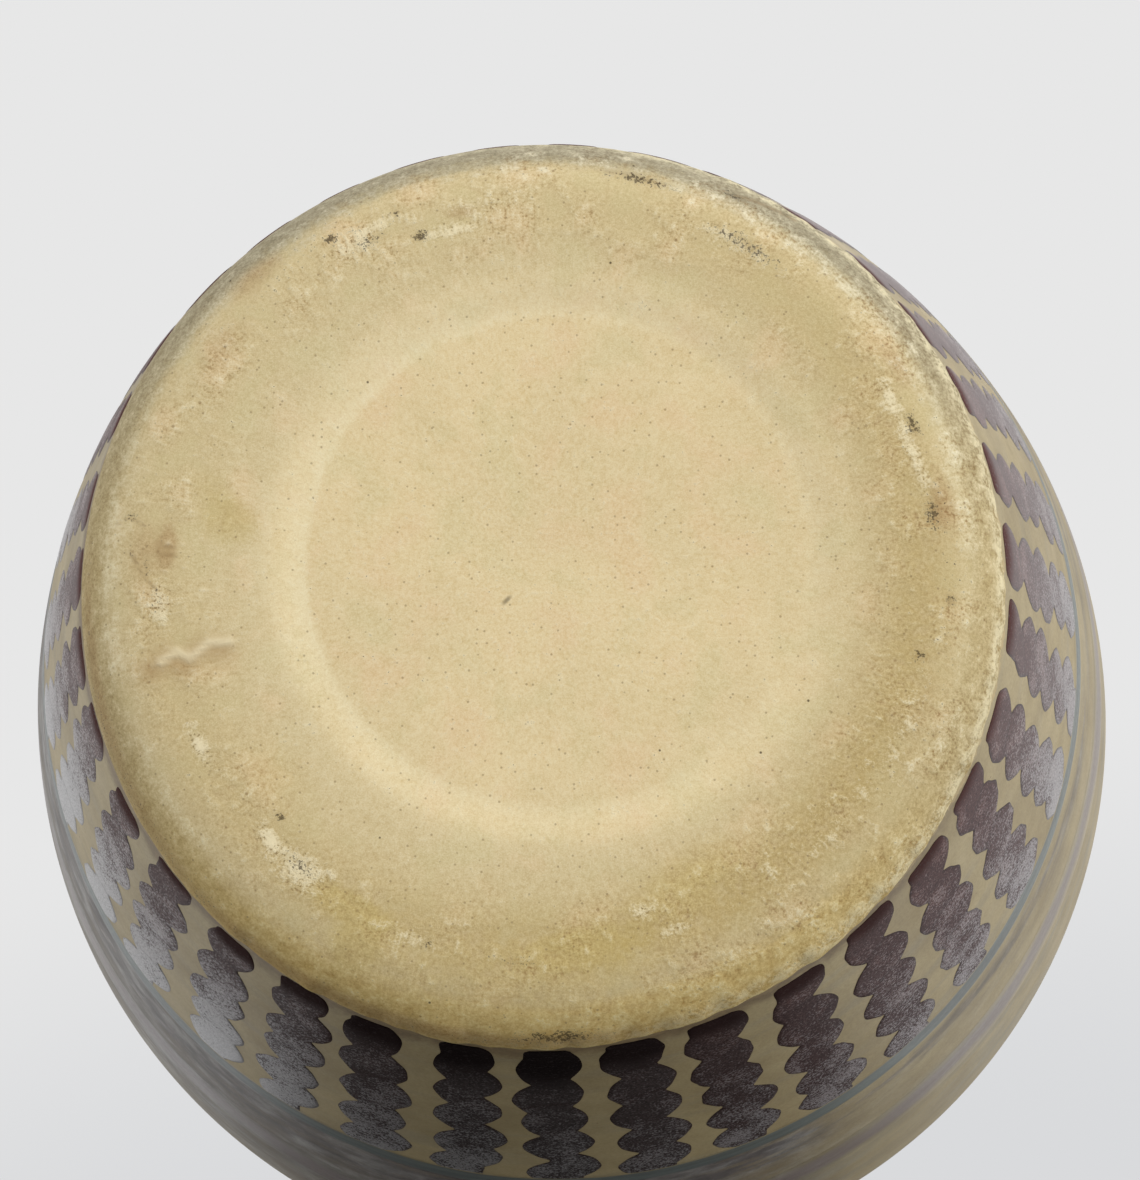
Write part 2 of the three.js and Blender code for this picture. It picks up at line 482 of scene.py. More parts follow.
class Recipe:
    """A node tree being written: add makes any node, and the other methods are short forms of it."""

    def __init__(self, tree: bpy.types.NodeTree) -> None:
        """Empties a tree and takes it over."""
        self.tree = tree
        tree.nodes.clear()

    def add(self, kind: str, settings: Settings, sockets: Sockets) -> bpy.types.Node:
        """Adds a node, sets it up, then fills its sockets.

        Args:
            kind: The node's type, without ShaderNode before it.
            settings: Properties of the node, set first.
            sockets: A number, colour, vector or wire for each input.

        Returns:
            The node.
        """
        node = self.tree.nodes.new("ShaderNode" + kind)
        for name, value in settings.items():
            setattr(node, name, value)
        for key, value in sockets.items():
            if isinstance(value, Wire):
                self.tree.links.new(value.socket, node.inputs[key])
            else:
                node.inputs[key].default_value = value
        return node

    def wire(self, kind: str, settings: Settings, sockets: Sockets, output: str | int = 0) -> Wire:
        """Adds a node and takes one of its outputs."""
        return Wire(self, self.add(kind, settings, sockets).outputs[output])

    def place(self) -> Wire:
        """Object coordinates."""
        return self.wire("TexCoord", {}, {}, "Object")

    def brush(self) -> Wire:
        """The piece's brush map: across and along its stroke, in metres."""
        return self.wire("UVMap", {"uv_map": "Brush"}, {}, "UV")

    def axis(self, vector: Wire, number: int) -> Wire:
        """One coordinate of a vector."""
        return self.wire("SeparateXYZ", {}, {0: vector}, number)

    def along(self, place: Wire, way: Pair) -> Wire:
        """How far a place lies along a level way: x and y, each times its share of the way."""
        return self.axis(place, 0) * way[0] + self.axis(place, 1) * way[1]

    def value(self, name: str) -> Wire:
        """A value kept on the piece's points."""
        return self.wire("Attribute", {"attribute_name": name}, {}, "Fac")

    def stretched(self, vector: Wire, factors: Triple) -> Wire:
        """A vector times a factor for each axis."""
        return self.wire("VectorMath", {"operation": "MULTIPLY"}, {0: vector, 1: factors})

    def noise(self, vector: Wire, scale: float, detail: float = 2.0, roughness: float = 0.5) -> Wire:
        """Smooth noise about 0.5, with scale waves to the metre."""
        sockets = {"Vector": vector, "Scale": scale, "Detail": detail, "Roughness": roughness}
        return self.wire("TexNoise", {"noise_dimensions": "3D"}, sockets, "Fac")

    def specks(self, vector: Wire, scale: float, share: float, size: float) -> Wire:
        """Round specks in a share of the cells of a pattern.

        Args:
            vector: Where the pattern is read.
            scale: Cells to the metre.
            share: Share of the cells that hold a speck.
            size: Radius of a speck in cells.

        Returns:
            A mask, 1 inside a speck.
        """
        cells = self.add("TexVoronoi", {"feature": "F1"}, {"Vector": vector, "Scale": scale}).outputs
        lot = self.wire("SeparateColor", {}, {0: Wire(self, cells["Color"])})
        drawn = self.step(lot, 1.0 - share, 1.02 - share)
        return drawn * self.step(Wire(self, cells["Distance"]), size, 0.45 * size)

    def step(self, value: Wire, low: float, high: float) -> Wire:
        """A smooth step: 0 at low, 1 at high, either way round."""
        sockets = {"Value": value, "From Min": low, "From Max": high}
        return self.wire("MapRange", {"interpolation_type": "SMOOTHSTEP"}, sockets)

    def mix(self, share: Wire | float, first: Wire | Colour, second: Wire | Colour) -> Wire:
        """A colour on the way from the first to the second."""
        return self.wire("Mix", {"data_type": "RGBA"}, {0: share, 6: first, 7: second}, 2)

    def layers(self, colour: Wire | Colour, *coats: tuple[Wire, Wire | Colour]) -> Wire:
        """Lays coats of colour one over another, each by a mix.

        Args:
            colour: The colour under them.
            coats: The share that each coat covers, and its colour.

        Returns:
            The colour on top.
        """
        for share, coat in coats:
            colour = self.mix(share, colour, coat)
        return colour

    def grained(self, colour: Wire, *grains: tuple[Wire, Wire | float]) -> Wire:
        """Makes a colour lighter where a grain is over 0.5 and darker where it is under, by soft light.

        Args:
            colour: The colour.
            grains: Grains, each with its contrast.

        Returns:
            The colour with the grains.
        """
        settings = {"data_type": "RGBA", "blend_type": "SOFT_LIGHT"}
        for grain, contrast in grains:
            sockets = {0: 1.0, 6: colour, 7: (grain - 0.5) * contrast + 0.5}
            colour = self.wire("Mix", settings, sockets, 2)
        return colour

    def reach(self, place: Wire) -> Wire:
        """Distance from the axis."""
        flat = self.stretched(place, (1.0, 1.0, 0.0))
        return self.wire("VectorMath", {"operation": "LENGTH"}, {0: flat}, "Value")

    def striae(self, place: Wire, scale: float) -> Wire:
        """Noise in rings round the axis: read at the radius, and only slowly along the rings.

        Args:
            place: Object coordinates.
            scale: Rings to the metre.

        Returns:
            The noise, about 0.5.
        """
        slow = self.stretched(place, (0.07, 0.07, 0.0))
        out = self.wire("CombineXYZ", {}, {2: self.reach(place)})
        return self.noise(self.wire("VectorMath", {"operation": "ADD"}, {0: slow, 1: out}), scale, 3.0, 0.6)

    def bump(self, height: Wire, depth: float, strength: float) -> Wire:
        """A normal that follows a height of depth metres."""
        return self.wire("Bump", {}, {"Height": height, "Distance": depth, "Strength": strength})

    def surface(self, sockets: Sockets) -> None:
        """Ends the tree in a Principled shader with these sockets."""
        self.add("OutputMaterial", {}, {"Surface": self.wire("BsdfPrincipled", {}, sockets)})


def new_finish(name: str) -> tuple[Material, Recipe]:
    """Makes an empty material.

    Args:
        name: Its name.

    Returns:
        The material, and the recipe that writes its nodes.
    """
    material = bpy.data.materials.new(name)
    material.use_nodes = True
    return material, Recipe(material.node_tree)


@dataclass(frozen=True)
class ClayFinish:
    """Bare buff stoneware: sandy grain, iron specks, a pale pressed rim, wear where it stands, and painted
    light and shade.
    """

    buff: Colour = tone(226, 206, 162)
    shade: Colour = tone(208, 190, 147)
    rosy: Colour = tone(225, 198, 156)
    green: Colour = tone(209, 198, 152)
    pale: Colour = tone(238, 226, 188)
    tread: Colour = tone(182, 159, 106)
    # The rounded border's colours, darker than the buff, partly as painted shade where the edge turns away;
    # straw is lighter, painted light on the +y side that the lamps leave darker.
    edge: Colour = tone(156, 147, 123)
    umber: Colour = tone(191, 172, 128)
    straw: Colour = tone(214, 188, 125)
    scuffed: Colour = tone(240, 227, 191)
    grime: Colour = tone(54, 38, 22)
    soil: Colour = tone(136, 108, 70)
    olive: Colour = tone(190, 168, 106)
    brown: Colour = tone(170, 139, 96)
    speck: Colour = tone(128, 104, 72)
    # Where the border turns from grey to umber, and from umber to the lighter straw of painted light, in y.
    umber_run: Pair = (-45 * MM, 5 * MM)
    straw_run: Pair = (18 * MM, 52 * MM)
    bump_depth: float = 0.13 * MM

    def material(self) -> Material:
        """Builds the finish: base colours, grain, specks, then wear and marks, with relief to match.

        Returns:
            The material; it reads the masks that the clay body keeps on its points.
        """
        material, r = new_finish("bare_clay")
        place = r.place()
        cloud = r.noise(place, 45.0, 3.0)
        hue = r.noise(place, 130.0, 3.0)
        grit = r.noise(place, 520.0, 5.0, 0.7)
        grain = r.noise(place, 2100.0, 3.0, 0.65)
        fine = r.noise(place, 5200.0, 2.0, 0.6)
        striae = r.striae(place, 620.0)
        worn = r.value("worn") * r.step(hue, 0.4, 0.62)
        scuff = r.value(Wear.SCUFF.value)
        depth = r.axis(place, 1)
        # The rounded border by y: grey towards -y, umber across the middle, straw towards +y. Part of its
        # darkness is painted shade, and the straw is painted light.
        near_border = r.mix(r.step(depth, *self.umber_run), self.edge, self.umber)
        border = r.mix(r.step(depth, *self.straw_run), near_border, self.straw)
        rounding = r.step(r.value("edge") + (striae - 0.5) * 0.6 + (grit - 0.5) * 0.9, 0.15, 1.0)
        strip = r.value("strip") * r.step(striae * 0.5 + hue * 0.3 + grit * 0.2, 0.4, 0.6)
        olive = r.step(r.value(Wear.OLIVE.value) * (0.1 + 0.9 * grit + 0.9 * hue), 0.2, 1.0)
        brown = r.step(r.value(Wear.BROWN.value) * (0.1 + 1.0 * grit + 0.8 * hue), 0.2, 1.0)
        pale = r.step(scuff * 0.8 + (grain - 0.5) * 1.8 + (grit - 0.5) * 2.4, 0.3, 1.1)
        pits = r.step(scuff, 0.15, 0.8) * r.step(grain * 0.7 + grit * 0.3, 0.43, 0.35)
        # A pale ridge along the outer edge on the right side: a painted highlight where the edge faces the
        # light, raised by the bump as well.
        lit_ridge = r.value("lit_ridge") * r.step(grit * 0.7 + grain * 0.3, 0.38, 0.58)
        broken = (grain - 0.5) * 2.6 + (fine - 0.5) * 1.4 + (grit - 0.5) * 1.0
        scratch = r.step(r.value("scratch") + broken * 0.6, 0.55, 1.2)
        darkened = r.step(r.value(Wear.GRIME.value) + broken, 0.55, 1.0)
        stroke = r.value("stroke")
        colour = r.layers(
            self.buff,
            (r.step(cloud, 0.4, 0.62) * 0.3, self.shade),
            (r.value("dish") * 0.85, self.shade),
            (r.step(hue, 0.52, 0.68) * 0.5, self.rosy),
            (r.step(hue, 0.48, 0.34) * 0.3, self.green),
            # rim: pale all round the pressed disc and paler towards the left, a painted highlight on the
            # flank that faces the light
            (r.value("rim") * (0.35 + 0.4 * grit), self.pale),
            (r.value("tread") * r.step(grit, 0.2, 0.62), self.tread),
            (rounding * 0.95, border),
            (strip * 0.5, self.pale),
            (olive * 0.55, self.olive),
            (brown * 0.6, self.brown),
            (worn * r.step(grit, 0.5, 0.68) * 0.35, self.scuffed),
            (worn * r.step(grit * 0.5 + grain * 0.5, 0.47, 0.38) * 0.5, self.brown),
        )
        colour = r.grained(
            colour,
            (grit, 0.35 + 0.5 * worn + 0.8 * rounding),
            (grain, 0.5 + 0.7 * worn + 0.5 * rounding),
            (fine, 0.55),
        )
        colour = r.layers(
            colour,
            (r.specks(place, 1000.0, 0.45, 0.2) * 0.5, self.speck),
            (r.specks(place, 640.0, 0.4, 0.17) * (0.1 + 0.6 * worn), self.soil),
            (r.specks(place, 330.0, 0.14, 0.07) * 0.8, self.grime),
            (pale * 0.75, self.scuffed),
            (pits * 0.5, self.speck),
            (lit_ridge * 0.75, self.pale),
            # Brown round the raised trail, moved towards the lower left: a painted shadow of the trail.
            (r.value("stroke_shadow") * 0.6, self.brown),
            (stroke * 0.6, self.scuffed),
            (scratch * 0.55, self.soil),
            (darkened * 0.8, self.grime),
            (r.value("dot") * 0.9, self.grime),
        )
        sandy = fine * 0.25 + grain * (0.35 + 0.6 * worn) + grit * (0.4 + 2.4 * worn)
        worked = striae * rounding * 0.3 + lit_ridge * 1.4 + stroke * 2.4
        raised = sandy + worked + pale * 0.5 - pits * 0.8 - darkened * 0.8
        r.surface({
            "Base Color": colour,
            "Roughness": 0.78 + 0.12 * grain,
            "Specular IOR Level": 0.2,
            "Normal": r.bump(raised, self.bump_depth, 0.6),
        })
        return material


@dataclass(frozen=True)
class GlazeFinish:
    """Satin tan-olive glaze: level smears, a mauve veil above the line, painted shade under the foot and bare
    clay at its edge.
    """

    tan: Colour = tone(164, 148, 110)
    deep: Colour = tone(149, 133, 97)
    grey: Colour = tone(134, 130, 116)
    mauve: Colour = tone(86, 80, 77)
    smoke: Colour = tone(130, 127, 123)
    bare: Colour = tone(182, 159, 112)
    iron: Colour = tone(96, 70, 50)
    # Brown for the glaze just under the foot's edge: a painted shade.
    foot_shade: Colour = tone(100, 80, 54)
    lip: Colour = tone(118, 108, 96)
    blush_start: float = 55 * MM
    blush_end: float = 70 * MM
    veil_start: float = 150 * MM
    veil_end: float = 85 * MM
    veil_way: Pair = (-0.85, 0.5)
    veil_run: Pair = (-18 * MM, 32 * MM)
    veil_stray: float = 40 * MM
    upper_start: float = 66 * MM
    bare_edge: float = 0.9 * MM
    # How far up the wall the painted shade under the foot reaches, and the way and run of the side that it
    # lies on.
    foot_shade_edge: float = 4.4 * MM
    foot_shade_way: Pair = (-0.4, 0.8)
    foot_shade_run: Pair = (-12 * MM, 22 * MM)
    fringe_stray: float = 6 * MM
    bump_depth: float = 0.1 * MM

    def plain(self, r: Recipe, place: Wire) -> Wire:
        """The plain glaze: tan and deeper tan in soft clouds, with level smears of grey and iron specks.

        Args:
            r: Recipe that the nodes go into.
            place: Object coordinates.

        Returns:
            The colour.
        """
        cloud = r.noise(place, 60.0, 3.0)
        smear = r.noise(r.stretched(place, (1.0, 1.0, 9.0)), 30.0, 4.0, 0.6)
        return r.layers(
            self.deep,
            (r.step(cloud, 0.35, 0.65), self.tan),
            (r.step(smear, 0.5, 0.72) * 0.3, self.grey),
            (r.specks(place, 420.0, 0.1, 0.09) * 0.6, self.iron),
        )

    def veiled(self, r: Recipe, place: Wire) -> Wire:
        """The outside: a blush just above the line, a mauve veil at the left and back, grey smears higher up.

        Args:
            r: Recipe that the nodes go into.
            place: Object coordinates.

        Returns:
            The colour; it reads along, the distance up the wall in metres.
        """
        along = r.value("along")
        smear = r.noise(r.stretched(place, (1.0, 1.0, 7.0)), 42.0, 4.0, 0.65)
        blotch = r.noise(r.stretched(place, (1.0, 1.0, 2.4)), 95.0, 4.0, 0.62)
        aside = r.along(place, self.veil_way) + (r.noise(place, 22.0) - 0.5) * self.veil_stray
        left = r.step(aside, *self.veil_run)
        start = r.step(along + left * (5 * MM), self.blush_start, self.blush_start + 3 * MM)
        fade = r.step(along, self.blush_end, self.blush_start + 5 * MM)
        low = r.step(along, self.veil_start, self.veil_end)
        upper = r.step(along, self.upper_start, self.upper_start + 14 * MM)
        veil = r.mix(r.step(blotch, 0.42, 0.66), self.mauve, self.smoke)
        veil = r.grained(veil, (r.noise(place, 230.0, 4.0, 0.68), 1.3))
        wide = (0.12 + 0.88 * left) * low * (0.66 + 0.5 * blotch)
        blush = fade * r.step(smear, 0.4, 0.62) * 0.6 + wide
        return r.layers(
            self.plain(r, place),
            (start * blush, veil),
            (upper * r.step(smear, 0.44, 0.66) * 0.5, self.grey),
        )

    def fringed(self, r: Recipe, place: Wire) -> Wire:
        """The veiled glaze with its lower edge: painted shade under the foot at the back and the left, bare
        clay elsewhere.

        Args:
            r: Recipe that the nodes go into.
            place: Object coordinates.

        Returns:
            The colour; it reads along, the distance up the wall in metres.
        """
        fringe = r.value("along") + (r.noise(place, 330.0, 4.0, 0.7) - 0.5) * self.fringe_stray
        rear = r.step(r.along(place, self.foot_shade_way), *self.foot_shade_run)
        # Darker brown on the glaze next to the foot, at the back and the left: painted shade under the foot's
        # overhang.
        darkened = r.step(fringe, self.foot_shade_edge, 0.2 * self.foot_shade_edge) * rear
        chipped = r.step(fringe, self.bare_edge, 0.4 * self.bare_edge) * (1.0 - 0.8 * rear)
        return r.layers(self.veiled(r, place), (darkened * 0.8, self.foot_shade), (chipped * 0.9, self.bare))

    def material(self, name: str, decorated: bool) -> Material:
        """Builds the finish.

        Args:
            name: Name of the material.
            decorated: Adds the veil, and the clay and the painted shade that show along the lower edge.

        Returns:
            The material; it reads lip, and the decorated one along, the distance up the wall in metres.
        """
        material, r = new_finish(name)
        place = r.place()
        colour = self.fringed(r, place) if decorated else self.plain(r, place)
        pits = r.noise(place, 900.0, 2.0)
        rings = r.noise(r.stretched(place, (0.05, 0.05, 1.0)), 420.0, 2.0)
        mottle = r.noise(place, 260.0, 4.0, 0.65)
        colour = r.mix(r.value("lip") * (0.2 + 0.7 * mottle), colour, self.lip)
        r.surface({
            "Base Color": r.grained(colour, (mottle, 0.35), (r.noise(place, 2400.0, 2.0, 0.6), 0.35)),
            "Roughness": 0.42 + 0.16 * r.noise(place, 140.0, 3.0),
            "IOR": 1.5,
            "Normal": r.bump(pits * 0.35 + rings, self.bump_depth, 0.35),
        })
        return material


@dataclass(frozen=True)
class SlipFinish:
    """Iron slip: purple-brown, darker where the brush set down, a painted grey sheen in grains higher up, and
    painted shade at the back.
    """

    body: Colour = tone(78, 52, 50)
    # The bead as painted shade at the back, in place of russet.
    russet_in_shade: Colour = tone(27, 22, 22)
    russet: Colour = tone(95, 65, 62)
    outline: Colour = tone(46, 31, 29)
    rust: Colour = tone(106, 69, 62)
    # A painted sheen: light grey in grains, which stands in for light reflected off the slip.
    painted_sheen: Colour = tone(172, 171, 172)
    # Slate: neutral dark grey painted over the dabs at the back as shade.
    slate: Colour = tone(60, 59, 58)
    bump_depth: float = 0.07 * MM

    def material(self) -> Material:
        """Builds the finish.

        Returns:
            The material; it reads rim, bead, depth, lens, sheen, slate, the share of painted grey sheen and
            the brush map.
        """
        material, r = new_finish("iron_slip")
        place = r.place()
        strokes = r.noise(r.stretched(r.brush(), (0.45, 1.0, 1.0)), 2100.0, 3.0, 0.65)
        grain = r.noise(place, 3400.0, 2.0, 0.6)
        cloud = r.noise(place, 190.0, 3.0)
        painted_sheen = r.value("painted_sheen")
        # The grains that take the painted grey sheen.
        shine = r.step(strokes * 0.45 + grain * 0.55 + (cloud - 0.5) * 0.35 + painted_sheen * 0.27, 0.55, 0.68)
        bead = r.value("bead") * r.step(grain * 0.6 + strokes * 0.4, 0.3, 0.5)
        colour = r.layers(
            self.body,
            (r.step(cloud, 0.45, 0.7) * 0.6, self.rust),
            (r.value("slate"), self.slate),
            (shine * painted_sheen, self.painted_sheen),
        )
        colour = r.layers(
            r.grained(colour, (grain, 1.6)),
            (r.value("lens") * 0.5, self.outline),
            (r.value("rim") * 0.75, self.outline),
            # Towards the back the bead is painted black in place of russet: painted shade.
            (bead * 0.92, r.mix(r.value("depth"), self.russet, self.russet_in_shade)),
        )
        coat = (0.35 + 0.65 * shine) * (0.5 + 0.5 * painted_sheen) + r.value("sheen")
        r.surface({
            "Base Color": colour,
            "Roughness": 0.5 + 0.2 * grain,
            "Specular IOR Level": 0.0,
            "Coat Weight": coat.math("MINIMUM", coat, 1.0) * (1.0 - 0.93 * bead),
            "Coat Roughness": 0.36,
            "Normal": r.bump(strokes + grain * 0.6, self.bump_depth, 0.5),
        })
        return material


@dataclass(frozen=True)
class BandFinish:
    """A banded stroke on the turning vase: level streaks of one colour, worn through to the glaze.

    Cover is the share of the glaze that it hides, ragged how far wear eats into it, and soft how far in
    from its edges it hides that share.
    """

    name: str
    stroke: Colour
    shade: Colour
    glaze: GlazeFinish
    cover: float
    ragged: float
    soft: float
    bump_depth: float = 0.06 * MM

    def material(self) -> Material:
        """Builds the finish; patches of wear grow with the square of how ragged the stroke is.

        Returns:
            The material; it reads along, and middle, 1 along the band's middle and 0 at its edges.
        """
        material, r = new_finish(self.name)
        place = r.place()
        streaks = r.noise(r.stretched(place, (1.0, 1.0, 12.0)), 55.0, 4.0, 0.65)
        grain = r.noise(place, 1300.0, 2.0)
        stroke = r.mix(r.step(streaks, 0.38, 0.66), self.shade, self.stroke)
        patches = r.noise(r.stretched(place, (1.0, 1.0, 2.0)), 70.0, 3.0) - 0.5
        held = r.value("middle") * (1.0 + self.ragged) + (streaks - 0.5) * (2.4 * self.ragged)
        held = held + patches * (5.0 * self.ragged * self.ragged)
        covered = r.step(held, 0.08, self.soft) * self.cover
        r.surface({
            "Base Color": r.mix(covered, self.glaze.veiled(r, place), stroke),
            "Roughness": 0.3 + 0.18 * grain,
            "IOR": 1.5,
            "Normal": r.bump(streaks + grain * 0.3, self.bump_depth, 0.35),
        })
        return material


def settle(piece: Piece, node: str, finish: Material) -> None:
    """Dresses a piece, hides the solid that it stands for and ties it to the body.

    Args:
        piece: The new piece.
        node: Name of the solid.
        finish: The piece's material.
    """
    piece.data.materials.append(finish)
    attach(piece, BODY)
    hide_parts(node)
    LOG.info("%s stands for %s: %d faces", piece.name, node, len(piece.data.polygons))


@dataclass(frozen=True)
class Mark:
    """A patch of wear on the foot: its middle in degrees and mm, its spread round and out in mm."""

    angle: float
    radius: float
    round: float
    out: float
    strength: float
    crisp: float = 1.0

    def mask(self, points: Array) -> Array:
        """Strength times e^-(q^crisp), with q the squared distance round and out, each in its spread.

        Args:
            points: Points of the body.

        Returns:
            The mask.
        """
        radius, angle = round_axis(points)
        angle = angle - math.radians(self.angle)
        arc = (np.mod(angle + np.pi, FULL_TURN) - np.pi) * self.radius
        squared = (arc / self.round) ** 2 + ((radius / MM - self.radius) / self.out) ** 2
        return self.strength * np.exp(-(squared**self.crisp))


# The marks of each kind, as the values of Mark in order.
FOOT_MARKS: dict[Wear, tuple[tuple[float, ...], ...]] = {
    Wear.SCUFF: (
        (-16, 48.5, 7, 1.2, 1), (-26, 48.6, 3, 1, 1), (-60, 48.4, 7, 1.4, 0.95), (-105, 45, 4.5, 1.1, 1),
        (-100, 47.5, 5, 1.3, 0.7), (-115, 49, 4, 1, 0.9), (-119.6, 47.7, 3.2, 1.6, 1.1),
        (174, 46.7, 3, 1.8, 1.1), (151, 46.5, 3.6, 1.1, 1.25), (133.5, 46.3, 2.4, 1.2, 1.2),
        (126.5, 46.6, 3.6, 2.2, 1.35), (107, 47.6, 4, 1.2, 0.8), (72.8, 44, 1.6, 0.9, 1.1),
        (69, 47.2, 2.4, 0.8, 0.9), (45, 48, 14, 4, 0.4), (25, 49, 8, 2, 0.5),
    ),
    Wear.GRIME: (
        (-122.1, 50.2, 0.7, 0.6, 1.2), (-117, 47.4, 2.4, 1.2, 0.6), (-109.7, 45.4, 1.1, 0.8, 1.2),
        (-112, 49.6, 0.5, 0.8, 0.9), (-76, 52.1, 4.2, 0.9, 0.9), (-63, 54.6, 2, 0.7, 0.9),
        (-58, 48.8, 6, 1.3, 0.72), (-21, 49.6, 1.4, 0.7, 1.1), (-7.5, 48.9, 2.2, 1, 0.8),
        (4.9, 50.6, 0.8, 0.6, 1.1), (13.5, 47.8, 0.9, 0.8, 0.9), (-172.9, 50.9, 0.6, 1.3, 0.8),
        (179.8, 48.2, 1.6, 0.4, 0.66), (175, 46.8, 2.5, 1.8, 0.42), (134.5, 43.5, 0.7, 0.6, 1.1),
        (127, 46.2, 2.8, 1.2, 0.72), (105, 47.7, 0.6, 0.5, 1.1), (92, 48, 3.5, 0.6, 0.65),
        # The long rows at radius 56.5 to 57.4 mm darken a band along the very edge towards the back and the
        # left.
        (87, 56.6, 5, 0.8, 0.85), (110, 57.4, 55, 0.7, 0.3), (160, 56.5, 30, 1.2, 0.3),
        (0, 51, 35, 3, 0.22), (-128, 50, 22, 3, 0.22),
    ),
    Wear.OLIVE: (
        (-172, 38.5, 3.4, 4.2, 0.75, 2), (-166, 42, 3, 3.5, 0.6), (118, 47, 5, 1.6, 1.4),
        (114.5, 50.5, 2.2, 2.6, 1.4), (82, 46.7, 7, 2.5, 1), (64, 42.3, 9, 4, 0.8),
        (97, 51, 30, 5, 0.6), (140, 40, 8, 5, 0.5),
    ),
    Wear.BROWN: (
        (-133, 52.5, 5, 2, 0.9), (-144, 49, 8, 3, 0.55), (-102.5, 47.1, 2.5, 1.2, 0.9),
        (-177, 45.7, 3, 1.2, 1.1), (-178, 48.6, 5.5, 2.8, 0.72), (-9, 50.5, 4, 1.8, 1),
        # The long rows at radius 56.4 and 57.3 mm darken a band along the very edge towards the back and the
        # left.
        (-30, 51.5, 4, 1.6, 0.8), (108, 57.3, 42, 1.1, 1), (165, 56.4, 22, 1.3, 0.7), (20, 50, 9, 2, 0.5),
    ),
}


